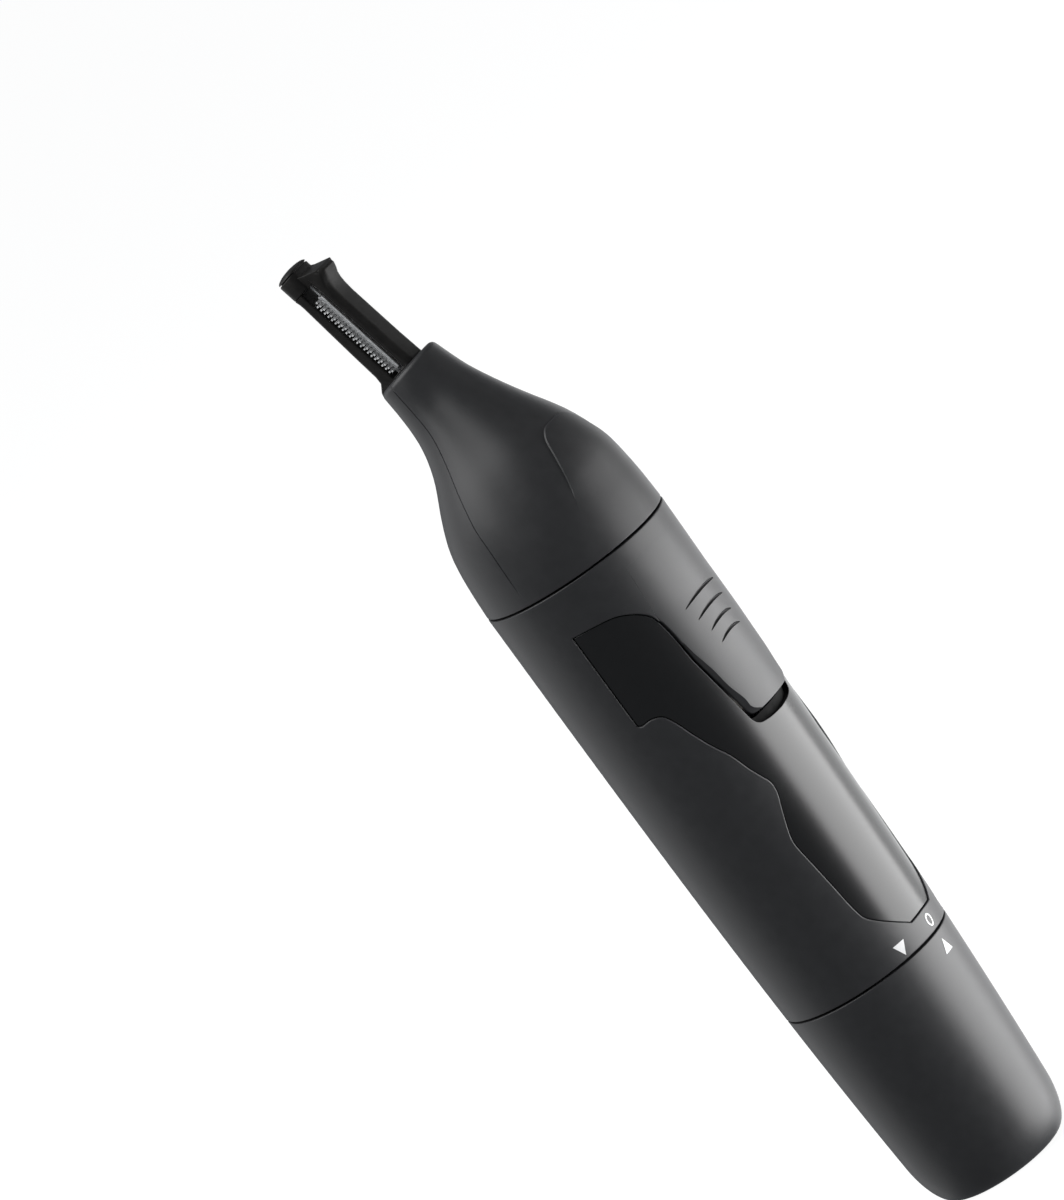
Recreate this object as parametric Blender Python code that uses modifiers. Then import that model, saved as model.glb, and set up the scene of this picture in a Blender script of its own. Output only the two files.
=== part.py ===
"""Nose hair trimmer with an angled cutting head, a twist-off battery cap and a reciprocating comb blade.

The handle's axis is +Z, its flat end rests on z = 0 and its front faces -Y. All lengths below are in
millimetres, and MM turns them into Blender's metres.
"""

import math

import bmesh
import bpy
from mathutils import Matrix, Vector

MM = 0.001

# Driving dimensions of the outside
CAP_TOP = 31.0  # seam between battery cap and body
BODY_TOP = 95.0  # seam between body and head
SEAM = 0.3  # visible gap at both seams
WALL = 1.5  # moulded wall of the body, cap and head
HANDLE_PROFILE = [  # height, radius of the turned handle
    (2.6, 10.0), (4.2, 10.35), (7.5, 10.86), (12.5, 11.2), (20.0, 11.61), (CAP_TOP, 12.09),
    (43.0, 12.42), (56.0, 12.74), (70.0, 13.01), (BODY_TOP, 13.25),
]
BASE_FLAT = 8.0  # radius of the flat end it stands on
BASE_CORNER = 2.0
CAP_FLOOR = 1.8
TURN_STEPS = 44

# The head leans back from the handle: its axis is an arc, then straight to the tip
TILT = math.radians(15.5)
BEND_START = 104.0
BEND_RADIUS = 56.6
NECK_RIM = 126.0  # height where the neck's rim crosses the head's axis
NECK_RIM_Y = 3.96
HEAD_SECTIONS = [  # height above the body seam along the head's axis, radius
    (0.3, 13.22), (4.8, 13.0), (8.3, 12.55), (10.8, 11.96), (13.4, 11.02), (15.9, 9.84), (18.4, 8.46),
    (20.9, 7.22), (23.4, 6.27), (26.4, 5.48), (29.4, 4.97), (31.6, 4.7),
]
HEAD_POINTS = 32
FLUTE_ANGLE, FLUTE_WIDTH, FLUTE_DEPTH = 66.0, 20.0, 0.55  # the long hollow on each side of the head

# Front inlay and tongue: angle from the front in degrees, height. Left half, mirrored for the right
INLAY_EDGE = [
    (-14.0, 34.4), (-24.0, 35.9), (-33.0, 37.6), (-38.3, 39.1), (-46.8, 52.2), (-37.2, 59.3),
    (-42.4, 62.7), (-57.0, 70.5), (-61.7, 73.2), (-66.0, 74.6), (-71.5, 75.1), (-81.0, 75.2),
    (-81.0, 88.9), (-66.0, 88.7), (-53.8, 88.2), (-43.7, 86.9), (-38.4, 85.7), (-35.9, 84.4),
]
TONGUE_EDGE = [
    (-34.5, 92.6), (-35.2, 84.4), (-34.1, 82.0), (-32.7, 78.2), (-27.2, 71.4), (-25.0, 68.7), (-21.0, 67.6),
]
TONGUE_ROOT = 93.4  # height of the tongue's bending line
TONGUE_RAISE = 0.4  # how far the free end stands proud
HINGE_RADIUS = 12.4  # the bending line's distance from the handle's axis
RAISE_FROM, RAISE_OVER = 88.0, 18.0  # the tongue rises from this height down, over this length
SPRING_SEAT = 72.0  # height of the tongue's spring
INLAY_DEPTH = 1.0
INLAY_SKIN = 0.2  # the inlay lies this far below the body's surface
SKIN_RADIUS = 12.9  # mean radius of the handle where the inlay lies
PART_GAP = 0.25
SWING_GAP = 0.15  # extra gap round the tongue, which swings inwards
REACH = 3.0  # how far cutters pass the surface that they cut

# Power: one AA cell, spring contact below, plate contact above
CELL_BASE, CELL_LENGTH, CELL_RADIUS = 5.2, 50.5, 7.05
TUBE_IN, TUBE_OUT = 7.6, 8.8  # radii of the chassis's battery tube
CUP_IN, CUP_OUT = 10.2, 11.0  # radii of its motor cup
TUBE_END, PARTITION, CUP_TOP = 33.2, 56.65, 86.4
COLLAR_RADIUS, COLLAR_BORE, COLLAR_TOP = 10.9, 9.3, 101.0
PLATE_LOW, PLATE_HIGH = 86.8, 88.6  # the collar's motor plate
SEAL_GROOVE = 0.8  # depth of the collar's groove for the head seal
HEAD_SEAL, CAP_SEAL = 97.85, 32.2  # heights of the two round seals
MOTOR_BASE, MOTOR_TOP, MOTOR_RADIUS, MOTOR_FLAT = 60.4, 84.6, 9.8, 7.7
CAN_WALL = 0.7
END_CAP = 2.1  # thickness of the motor's end cap
ROTOR_BORE, SHAFT_RADIUS = 1.25, 1.0
SHAFT_START, SHAFT_END = 61.2, 92.0
MOTOR_SCREW_X = 6.2

# Twist lock: lugs on the cap's spigot stand in the notches of a ring that turns in the body
SPIGOT_RADIUS, SPIGOT_BORE = 10.1, 9.0
RING_RADIUS, RING_BORE, RING_LOW, RING_HIGH = 10.2, 9.1, 33.9, 37.6
LUG_HALF, NOTCH_HALF = 1.8, 2.1
LUGS = 3

# Drive: eccentric pin, rocker, rod, blade
CRANK = 0.6  # eccentric offset
PIN_RADIUS = 0.7
AXLE_RADIUS, AXLE_BORE = 0.75, 0.95  # the rocker's pin and the holes that it passes
FORK_LOW, FORK_GAP, FORK_HALF = 94.4, 2.15, 3.5
PIVOT = (-7.0, 106.5)  # y, z of the rocker's pivot
ROD_FOOT = (-1.45, 106.5)  # y, z where the rocker's nose meets the rod
NOSE = 0.85
ROD_RADIUS = 0.85
FRAME_RADIUS, FRAME_BORE, FRAME_LOW = 10.2, 8.6, 101.5
BRACKET_SCREW = (3.3, 5.4)  # x, y of the bracket's screws

# Cutting bar, measured along the head's axis from the neck's rim
BAR_END = 15.2
TIP_START, TIP_END = 15.4, 19.4
BLADE_START, BLADE_END = 1.15, 14.1
TOOTH_PITCH, TOOTH_WIDTH, TOOTH_LENGTH = 0.65, 0.34, 1.1
BLADE_HALF = 1.45  # half width of a blade at its tooth roots
COMB_V = (-0.15, 0.1)  # front and back face of the fixed comb, measured from the axis
BLADE_V = (0.3, 0.55)
SLOT_FRONT = [(0.7, -0.35), (2.2, -1.35), (4.0, -1.35)]  # the slot's front wall, half of it
SLOT_BACK = 0.8
SLOT_START, SLOT_END = 0.6, 14.6


# ---------------------------------------------------------------- helpers
def clear_scene():
    for old in list(bpy.data.objects):
        bpy.data.objects.remove(old)


def new_collection(name):
    made = bpy.data.collections.new(name)
    bpy.context.scene.collection.children.link(made)
    return made


def make_material(name, colour, roughness, metallic=0.0):
    made = bpy.data.materials.new(name)
    made.use_nodes = True
    shader = made.node_tree.nodes["Principled BSDF"]
    shader.inputs["Base Color"].default_value = (*colour, 1.0)
    shader.inputs["Roughness"].default_value = roughness
    shader.inputs["Metallic"].default_value = metallic
    made.diffuse_color = (*colour, 1.0)
    return made


def place(name, mesh, material=None, cutter=False):
    """An object for this mesh, in the parts' collection or, as a wire outline, in the cutters'."""
    made = bpy.data.objects.new(name, mesh)
    if cutter:
        CUTTERS.objects.link(made)
        made.hide_render = True
        made.display_type = "WIRE"
    else:
        PARTS.objects.link(made)
        mesh.materials.append(material)
    return made


def finish_mesh(bm, name):
    bmesh.ops.recalc_face_normals(bm, faces=bm.faces)
    mesh = bpy.data.meshes.new(name)
    bm.to_mesh(mesh)
    bm.free()
    return mesh


def span(side, near, far):
    """The low and high end of a stretch from near to far on one side: side is -1 or 1."""
    return sorted((side * near, side * far))


def turned(name, profile, material=None, steps=32, frame=None, cutter=False):
    """A turned solid. profile holds (radius, height) and runs down the outer side, then back up the inner
    side; it is closed unless it starts and ends on the axis."""
    on_axis = profile[0][0] == 0.0
    mesh = bpy.data.meshes.new(name)
    points = [(radius * MM, 0.0, height * MM) for radius, height in profile]
    edges = [(i, i + 1) for i in range(len(points) - 1)]
    if not on_axis:
        edges.append((len(points) - 1, 0))
    mesh.from_pydata(points, edges, [])
    made = place(name, mesh, material, cutter)
    screw = made.modifiers.new("turn", "SCREW")
    screw.steps = screw.render_steps = steps
    screw.use_merge_vertices = True
    screw.merge_threshold = 0.00001
    screw.use_smooth_shade = False
    if frame is not None:
        made.matrix_world = frame
    return made


def cylinder(name, radius, start, end, material=None, steps=24, frame=None, cutter=False):
    """A cylinder between two heights on the frame's own z axis."""
    bm = bmesh.new()
    bmesh.ops.create_cone(
        bm, cap_ends=True, segments=steps, radius1=radius * MM, radius2=radius * MM, depth=(end - start) * MM
    )
    bmesh.ops.translate(bm, verts=bm.verts, vec=(0, 0, (start + end) / 2 * MM))
    made = place(name, finish_mesh(bm, name), material, cutter)
    if frame is not None:
        made.matrix_world = frame
    return made


def box(name, low, high, material=None, frame=None, cutter=False):
    bm = bmesh.new()
    bmesh.ops.create_cube(bm, size=1.0)
    size = Vector(high) - Vector(low)
    middle = (Vector(high) + Vector(low)) / 2
    bmesh.ops.scale(bm, verts=bm.verts, vec=size * MM)
    bmesh.ops.translate(bm, verts=bm.verts, vec=middle * MM)
    made = place(name, finish_mesh(bm, name), material, cutter)
    if frame is not None:
        made.matrix_world = frame
    return made


def flat_plate(name, outline, low, high, frame, material=None, cutter=False):
    """A flat outline in the frame's xy plane, thick from low to high along its z axis."""
    curve = bpy.data.curves.new(name, "CURVE")
    curve.dimensions = "2D"
    curve.fill_mode = "BOTH"
    curve.extrude = (high - low) / 2 * MM
    spline = curve.splines.new("POLY")
    spline.points.add(len(outline) - 1)
    for point, (u, v) in zip(spline.points, outline):
        point.co = (u * MM, v * MM, 0, 1)
    spline.use_cyclic_u = True
    flat = bpy.data.objects.new(name + "_outline", curve)
    CUTTERS.objects.link(flat)
    bpy.context.view_layer.update()
    graph = bpy.context.evaluated_depsgraph_get()
    mesh = bpy.data.meshes.new_from_object(flat.evaluated_get(graph))
    bpy.data.objects.remove(flat)
    bm = bmesh.new()
    bm.from_mesh(mesh)
    bmesh.ops.remove_doubles(bm, verts=bm.verts, dist=0.000001)
    bmesh.ops.translate(bm, verts=bm.verts, vec=(0, 0, (low + high) / 2 * MM))
    made = place(name, finish_mesh(bm, name), material, cutter)
    made.matrix_world = frame
    return made


def wire(name, points, radius, material, resolution=1, frame=None):
    """A round wire through these points, with closed ends."""
    curve = bpy.data.curves.new(name, "CURVE")
    curve.dimensions = "3D"
    curve.bevel_depth = radius * MM
    curve.bevel_resolution = resolution
    curve.use_fill_caps = True
    spline = curve.splines.new("POLY")
    spline.points.add(len(points) - 1)
    for point, place_mm in zip(spline.points, points):
        point.co = (*(Vector(place_mm) * MM), 1)
    curve.materials.append(material)
    made = bpy.data.objects.new(name, curve)
    PARTS.objects.link(made)
    if frame is not None:
        made.matrix_world = frame
    return made


def shade_round(made, angle=35.0):
    """Applies the modifiers of a mesh, shades it smooth and keeps its steeper edges sharp."""
    graph = bpy.context.evaluated_depsgraph_get()
    mesh = bpy.data.meshes.new_from_object(made.evaluated_get(graph))
    mesh.name = made.name
    made.modifiers.clear()
    made.data = mesh
    mesh.shade_smooth()
    mesh.set_sharp_from_angle(angle=math.radians(angle))


def coil_points(radius_low, radius_high, low, high, turns, per_turn=11):
    count = round(turns * per_turn)
    points = []
    for i in range(count + 1):
        share = i / count
        angle = 2 * math.pi * turns * share
        radius = radius_low + (radius_high - radius_low) * share
        points.append((radius * math.cos(angle), radius * math.sin(angle), low + (high - low) * share))
    return points


def cut(made, *cutters, operation="DIFFERENCE"):
    for cutter in cutters:
        boolean = made.modifiers.new(cutter.name, "BOOLEAN")
        boolean.operation = operation
        boolean.solver = "EXACT"
        boolean.object = cutter
    return made


def join(made, *others):
    return cut(made, *others, operation="UNION")


# ---------------------------------------------------------------- shapes that the sub-parts share
def handle_radius(height):
    """Outer radius of the handle at a height, straight between the profile's points."""
    points = HANDLE_PROFILE
    if height <= points[0][0]:
        return points[0][1]
    for (z0, r0), (z1, r1) in zip(points, points[1:]):
        if height <= z1:
            return r0 + (r1 - r0) * (height - z0) / (z1 - z0)
    return points[-1][1]


def skin(distance):
    """A function of the height that gives the radius this far outside the handle's surface."""
    return lambda height: handle_radius(height) + distance


def tongue_skin(height):
    """Outer radius of the tongue, which stands ever prouder towards its free end."""
    share = min(max((RAISE_FROM - height) / RAISE_OVER, 0.0), 1.0)
    return handle_radius(height) + TONGUE_RAISE * share


def profile_between(low, high, inset=0.0):
    """(radius, height) from high down to low, on the handle's surface or inset from it."""
    heights = [high] + [z for z, _ in reversed(HANDLE_PROFILE) if low < z < high] + [low]
    return [(handle_radius(z) - inset, z) for z in heights]


def axis_frame(distance=0.0):
    """The head's straight axis: z along it, y to the back, its origin this far above the neck's rim."""
    origin = Vector((0.0, NECK_RIM_Y, NECK_RIM))
    along = Vector((0.0, math.sin(TILT), math.cos(TILT)))
    return Matrix.Translation((origin + along * distance) * MM) @ Matrix.Rotation(-TILT, 4, "X")


def across_at(y, z):
    """A frame at this place whose z axis is the world's x."""
    return Matrix.Translation(Vector((0, y, z)) * MM) @ Matrix.Rotation(math.radians(90), 4, "Y")


def side_frame():
    """x of this frame is the world's y, y is the world's z and z is the world's x: a side view."""
    return Matrix(((0, 0, 1, 0), (1, 0, 0, 0), (0, 1, 0, 0), (0, 0, 0, 1)))


def spine(distance):
    """Centre and lean of the head's axis, this far above the body seam."""
    start = BEND_START - BODY_TOP
    arc = BEND_RADIUS * TILT
    if distance <= start:
        return Vector((0, 0, BODY_TOP + distance)), 0.0
    lean = min((distance - start) / BEND_RADIUS, TILT)
    y = BEND_RADIUS * (1 - math.cos(lean))
    z = BEND_START + BEND_RADIUS * math.sin(lean)
    beyond = max(distance - start - arc, 0.0)
    return Vector((0, y + beyond * math.sin(TILT), z + beyond * math.cos(TILT))), lean


def flute(angle, distance):
    """How far the side hollows sink the head's skin, at an angle in degrees from the front."""
    across = (abs(angle) - FLUTE_ANGLE) / FLUTE_WIDTH
    along = min(max((distance - 4.0) / 8.0, 0.0), 1.0) * min(max((31.0 - distance) / 6.0, 0.0), 1.0)
    return FLUTE_DEPTH * along * math.exp(-across * across)


def mirrored(edge):
    """The left edge followed by its mirror image, as one closed outline."""
    return edge + [(-angle, height) for angle, height in reversed(edge)]


def offset(outline, distance):
    """The outline moved outwards by a distance, with angles taken as lengths on the handle's skin."""
    scale = math.radians(SKIN_RADIUS)
    flat = [Vector((a * scale, z)) for a, z in outline]
    area = sum(a.x * b.y - b.x * a.y for a, b in zip(flat, flat[1:] + flat[:1]))
    sign = 1.0 if area > 0 else -1.0
    moved = []
    for i, point in enumerate(flat):
        before = (point - flat[i - 1]).normalized()
        after = (flat[(i + 1) % len(flat)] - point).normalized()
        normal_a = Vector((before.y, -before.x)) * sign
        normal_b = Vector((after.y, -after.x)) * sign
        half = (normal_a + normal_b).normalized()
        reach = distance / max(half.dot(normal_a), 0.5)
        shifted = point + half * reach
        moved.append((shifted.x / scale, shifted.y))
    return moved


def wrapped(name, outline, low, high, material=None, cutter=False, strip=8.0, rise=14.0):
    """A plate bent round the handle. outline holds (angle, height); low and high give its inner and outer
    radius at a height."""
    bm = bmesh.new()
    bm.faces.new([bm.verts.new((angle, height, 0.0)) for angle, height in outline])
    angles = [a for a, _ in outline]
    heights = [z for _, z in outline]
    for axis, start, stop, step in ((0, min(angles), max(angles), strip), (1, min(heights), max(heights), rise)):
        normal = Vector((1, 0, 0)) if axis == 0 else Vector((0, 1, 0))
        at = math.ceil(start / step + 0.01) * step
        while at < stop - 0.01:
            everything = bm.verts[:] + bm.edges[:] + bm.faces[:]
            bmesh.ops.bisect_plane(bm, geom=everything, plane_co=normal * at, plane_no=normal)
            at += step
    bmesh.ops.triangulate(bm, faces=bm.faces)
    top = bmesh.ops.extrude_face_region(bm, geom=bm.faces[:])["geom"]
    outer = {v for v in top if isinstance(v, bmesh.types.BMVert)}
    for vert in bm.verts:
        angle, height = math.radians(vert.co.x), vert.co.y
        radius = high(height) if vert in outer else low(height)
        vert.co = Vector((radius * math.sin(angle), -radius * math.cos(angle), height)) * MM
    return place(name, finish_mesh(bm, name), material, cutter)


def bar_section(back):
    """Outline of the cutting bar: a narrow front rail, and a wide back whose depth is given."""
    right = [(1.3, -2.65), (2.1, -2.05), (2.2, -1.2), (2.5, -0.3), (2.5, back - 0.7), (1.6, back)]
    return right + [(-x, v) for x, v in reversed(right)]


def loft(bm, rings):
    """Quads between closed rings of as many vertices, with the two end rings filled."""
    made = [[bm.verts.new(point) for point in ring] for ring in rings]
    count = len(made[0])
    for lower, upper in zip(made, made[1:]):
        for i in range(count):
            bm.faces.new((lower[i], lower[(i + 1) % count], upper[(i + 1) % count], upper[i]))
    bm.faces.new(made[0][::-1])
    bm.faces.new(made[-1])


# ---------------------------------------------------------------- body of the handle
def build_body_shell():
    low, high = CAP_TOP + SEAM, BODY_TOP - SEAM
    outside = profile_between(low, high)
    inside = profile_between(low, high, WALL)[::-1]
    shell = turned("body_shell", outside + inside, GREY, TURN_STEPS)
    pocket = wrapped("inlay_pocket", mirrored(INLAY_EDGE), skin(-INLAY_DEPTH), skin(REACH), cutter=True)
    window = offset(mirrored(TONGUE_EDGE), SWING_GAP)
    cut(shell, pocket, wrapped("tongue_window", window, skin(-REACH), skin(REACH), cutter=True))


def build_front_inlay():
    """The inlay fills its pocket and leaves room for the tongue."""
    outer = offset(mirrored(INLAY_EDGE), -PART_GAP)
    inlay = wrapped("front_inlay", outer, skin(PART_GAP - INLAY_DEPTH), skin(-INLAY_SKIN), GLOSS)
    room = offset(mirrored(TONGUE_EDGE), 2 * PART_GAP)
    cut(inlay, wrapped("tongue_room", room, skin(-REACH), skin(REACH), cutter=True))


def build_tongue():
    """The release tongue: flush at its root, proud at its free end, with a spring seat inside."""
    edge = offset(mirrored(TONGUE_EDGE), -PART_GAP)
    tongue = wrapped("release_tongue", edge, skin(-WALL), tongue_skin, GREY)
    turn_about(tongue, Matrix.Translation(Vector((0, -HINGE_RADIUS, TONGUE_ROOT)) * MM))
    forwards = Matrix.Translation((0, 0, SPRING_SEAT * MM)) @ Matrix.Rotation(math.radians(90), 4, "X")
    join(tongue, cylinder("tongue_seat", 1.2, 10.6, 12.2, steps=16, frame=forwards, cutter=True))
    coil = [(x, -z, SPRING_SEAT + y) for x, y, z in coil_points(1.9, 1.9, 8.4, 10.9, 2.5, 10)]
    wire("tongue_spring", coil, 0.25, STEEL)


def turn_about(made, frame):
    """Moves an object's origin onto its joint's axis and leaves its shape in place."""
    made.data.transform(frame.inverted() @ made.matrix_basis)
    made.matrix_world = frame


def build_chassis():
    """Battery tube below, partition, and motor cup above."""
    lead_hole, cup_floor = 2.2, PARTITION + 1.5
    profile = [
        (CUP_OUT, CUP_TOP), (CUP_OUT, PARTITION), (TUBE_OUT, PARTITION), (TUBE_OUT, TUBE_END),
        (TUBE_IN, TUBE_END), (TUBE_IN, PARTITION), (lead_hole, PARTITION), (lead_hole, cup_floor),
        (CUP_IN, cup_floor), (CUP_IN, CUP_TOP),
    ]
    chassis = turned("chassis", profile, FRAME_GREY, 32)
    front = box("tongue_clearance", (-6.6, -13, 64), (6.6, -7.9, 90), cutter=True)
    sides = box("cup_windows", (-13, -4.5, 66), (13, 4.5, 80), cutter=True)
    strip = box("strip_notch", (-2.4, 8.95, 56.0), (2.4, 10.4, 62), cutter=True)
    cut(chassis, front, sides, strip)


def build_collar():
    """Motor plate and the spigot that the head plugs onto, with a groove for the head seal."""
    outer, groove, plate_hole = COLLAR_RADIUS, COLLAR_RADIUS - SEAL_GROOVE, 3.6
    low, high = HEAD_SEAL - 0.85, HEAD_SEAL + 0.85
    profile = [
        (outer, COLLAR_TOP), (outer, high), (groove, high), (groove, low), (outer, low), (outer, PLATE_LOW),
        (plate_hole, PLATE_LOW), (plate_hole, PLATE_HIGH), (COLLAR_BORE, PLATE_HIGH), (COLLAR_BORE, COLLAR_TOP),
    ]
    collar = turned("coupling_collar", profile, FRAME_GREY, 36)
    for i, spot in enumerate(motor_screw_spots()):
        cut(collar, cylinder(f"collar_hole_{i}", 1.1, 80, 95, steps=16, frame=spot, cutter=True))


def motor_screw_spots():
    return [Matrix.Translation((side * MOTOR_SCREW_X * MM, 0, 0)) for side in (-1, 1)]


def screw(name, head_base, tip, frame, head_radius=1.5, shank=0.75):
    """A pan-head screw. The tip is above or below the head's base, on the frame's z axis."""
    way = 1 if tip > head_base else -1
    crown, brim = head_base - way * 1.1, head_base - way * 0.6
    profile = [
        (0.0, crown), (head_radius * 0.8, crown), (head_radius, brim), (head_radius, head_base),
        (shank, head_base), (shank, tip - way * 0.8), (0.0, tip),
    ]
    if way > 0:
        profile = profile[::-1]
    return turned(name, profile, STEEL, 16, frame)


def build_motor():
    """Can with two flats, end cap, magnets, bush and terminals. The rotor is built apart."""
    inner, bush_hole = MOTOR_RADIUS - CAN_WALL, 2.6
    rim, roof = MOTOR_BASE + END_CAP + 0.3, MOTOR_TOP - 0.8
    can = turned("motor_can", [(MOTOR_RADIUS, MOTOR_TOP), (MOTOR_RADIUS, rim), (inner, rim), (inner, roof),
                               (bush_hole, roof), (bush_hole, MOTOR_TOP)], CAN_STEEL, 40)
    end_cap = cylinder("motor_end_cap", MOTOR_RADIUS, MOTOR_BASE, MOTOR_BASE + END_CAP, IVORY, 40)
    for side in (-1, 1):
        for made, name in ((can, "can_flat"), (end_cap, "end_flat")):
            low, high = span(side, MOTOR_FLAT, MOTOR_RADIUS + REACH)
            cut(made, box(f"{name}_{side}", (-12, low, 55), (12, high, 90), cutter=True))
    for side in (-1, 1):
        low, high = span(side, MOTOR_FLAT - CAN_WALL, MOTOR_FLAT)
        join(can, box(f"can_wall_{side}", (-5.8, low, rim), (5.8, high, MOTOR_TOP - 0.2), cutter=True))
    cut(end_cap, cylinder("end_cap_hole", 1.3, 55, 70, steps=20, cutter=True))
    low, high = MOTOR_TOP - 1.6, MOTOR_TOP + 1.2
    turned("motor_bush", [(2.3, high), (2.3, low), (ROTOR_BORE, low), (ROTOR_BORE, high)], BRONZE, 24)
    for name, side in (("left", -1), ("right", 1)):
        profile = [(8.8, 81.5), (8.8, 66.5), (6.7, 66.5), (6.7, 81.5)]
        magnet = turned(f"motor_magnet_{name}", profile, MAGNET, 32)
        low, high = span(side, 3, 12)
        keep = box(f"magnet_keep_{name}", (low, -4.6, 60), (high, 4.6, 90), cutter=True)
        cut(magnet, keep, operation="INTERSECT")
        low, high = span(side, 4.1, 5.9)
        box(f"motor_terminal_{name}", (low, -0.2, 58.7), (high, 0.2, 60.1), BRASS)
    for name, spot in zip(("motor_screw_left", "motor_screw_right"), motor_screw_spots()):
        screw(name, PLATE_HIGH + 0.3, 85.0, spot)


def build_rotor():
    """Shaft, armature and commutator, and the eccentric that drives the rocker."""
    bore = ROTOR_BORE
    cylinder("motor_shaft", SHAFT_RADIUS, SHAFT_START, SHAFT_END, STEEL, 24)
    armature = turned("motor_armature", [(6.2, 80.5), (6.2, 67.5), (bore, 67.5), (bore, 80.5)], COPPER, 30)
    for i in range(3):
        turn = Matrix.Rotation(math.radians(120 * i + 90), 4, "Z")
        cut(armature, box(f"armature_slot_{i}", (3.2, -0.7, 60), (8, 0.7, 90), frame=turn, cutter=True))
    turned("commutator", [(2.4, 66.8), (2.4, 63.2), (bore, 63.2), (bore, 66.8)], BRASS, 20)
    disc, low, roof, high = 4.2, 89.4, SHAFT_END + 0.3, SHAFT_END + 0.6
    cam = turned("eccentric_cam", [(disc, high), (disc, low + 0.6), (disc - 0.6, low), (bore, low),
                                   (bore, roof), (0.0, roof), (0.0, high)], IVORY, 32)
    beside = Matrix.Translation((CRANK * MM, 0, 0))
    join(cam, cylinder("crank_pin", PIN_RADIUS, high - 0.2, 98.6, steps=16, frame=beside, cutter=True))


def build_seals():
    """Lip seal at the shaft and round seals at the head and at the cap."""
    lip = [(3.3, 88.4), (3.3, 87.0), (2.2, 86.9), (1.2, 87.5), (1.2, 87.9), (2.0, 88.4)]
    turned("shaft_seal", lip, RUBBER, 28)
    for name, radius, thick, height in (("head_seal_ring", 10.8, 0.45, HEAD_SEAL),
                                        ("cap_seal_ring", 9.95, 0.32, CAP_SEAL)):
        ring = [(radius + thick * math.cos(a), height - thick * math.sin(a))
                for a in [math.radians(60 * k - 90) for k in range(6)]]
        turned(name, ring, RUBBER, 30)


def build_contacts():
    """Plate contact above the cell, the strip down to the switch, and the two leads to the motor."""
    plate = cylinder("positive_contact", 4.2, 56.0, 56.3, NICKEL, 28)
    join(plate, box("positive_tab", (-0.9, -0.2, 56.1), (0.9, 0.2, 58.9), cutter=True))
    strip = box("contact_strip", (-1.6, 9.2, 38.9), (1.6, 9.5, 59.4), NICKEL)
    join(strip, box("strip_foot", (-1.6, 9.2, 38.6), (1.6, 10.2, 38.95), cutter=True))
    thick = 0.35
    to_plus = [(1.5, -0.2, 58.6), (2.6, -1.0, 59.0), (3.6, -1.0, 59.3), (4.2, -0.75, 59.4)]
    to_minus = [(0, 8.7, 59.2), (-2.0, 7.4, 59.3), (-4.4, 3.4, 59.4), (-4.9, 0.8, 59.4)]
    wire("lead_positive", to_plus, thick, RED)
    wire("lead_negative", to_minus, thick, RUBBER)


def build_cell():
    top, can, button = CELL_BASE + CELL_LENGTH, CELL_RADIUS - 0.4, 2.7
    turned("battery_cell", [(0.0, top), (button, top), (button, top - 1.2), (can, top - 1.2),
                            (can, CELL_BASE + 0.2), (4.5, CELL_BASE), (0.0, CELL_BASE)], NICKEL, 32)
    outer, inner, low, high = CELL_RADIUS + 0.2, CELL_RADIUS - 0.1, CELL_BASE + 0.6, top - 1.5
    turned("battery_jacket", [(outer, high), (outer, low), (inner, low), (inner, high)], JACKET, 32)


# ---------------------------------------------------------------- battery cap and its lock ring
def build_cap():
    """The turned cup, the spigot that enters the body, and the cell's lower contact."""
    corner = [(BASE_FLAT + BASE_CORNER * math.sin(a), BASE_CORNER * (1 - math.cos(a)))
              for a in [math.radians(18 * k) for k in range(4, -1, -1)]]
    inside = [(7.4, CAP_FLOOR)] + [(handle_radius(z) - WALL, z) for z in (4.2, 7.5, 20.0, CAP_TOP)]
    outside = profile_between(HANDLE_PROFILE[0][0], CAP_TOP) + corner
    turned("cap_shell", [(0.0, CAP_FLOOR), *inside, *outside, (0.0, 0.0)], GREY, TURN_STEPS)
    outer, groove, bore = SPIGOT_RADIUS, SPIGOT_RADIUS - 0.6, SPIGOT_BORE
    low, high, end, top = CAP_SEAL - 0.45, CAP_SEAL + 0.45, 26.0, 33.4
    spigot = turned("cap_spigot", [(outer, top), (outer, high), (groove, high), (groove, low), (outer, low),
                                   (outer, 29.5), (9.7, end), (bore, end), (bore, top)], FRAME_GREY, 32)
    for i in range(LUGS):
        low, high = (-LUG_HALF, 9.15, top - 0.5), (LUG_HALF, 9.85, 36.6)
        join(spigot, box(f"cap_lug_{i}", low, high, frame=share_of_turn(i), cutter=True))
    turned("contact_sleeve", [(8.3, 33.0), (8.3, 4.3), (7.8, 4.3), (7.8, 33.0)], NICKEL, 32)
    cylinder("cap_contact", 7.2, 2.1, 2.45, NICKEL, 32)
    wire("cap_spring", coil_points(4.8, 2.6, 3.15, 4.55, 3.0), 0.3, STEEL)


def share_of_turn(i):
    """The lugs and notches stand evenly round the cap."""
    return Matrix.Rotation(2 * math.pi * i / LUGS, 4, "Z")


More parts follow.
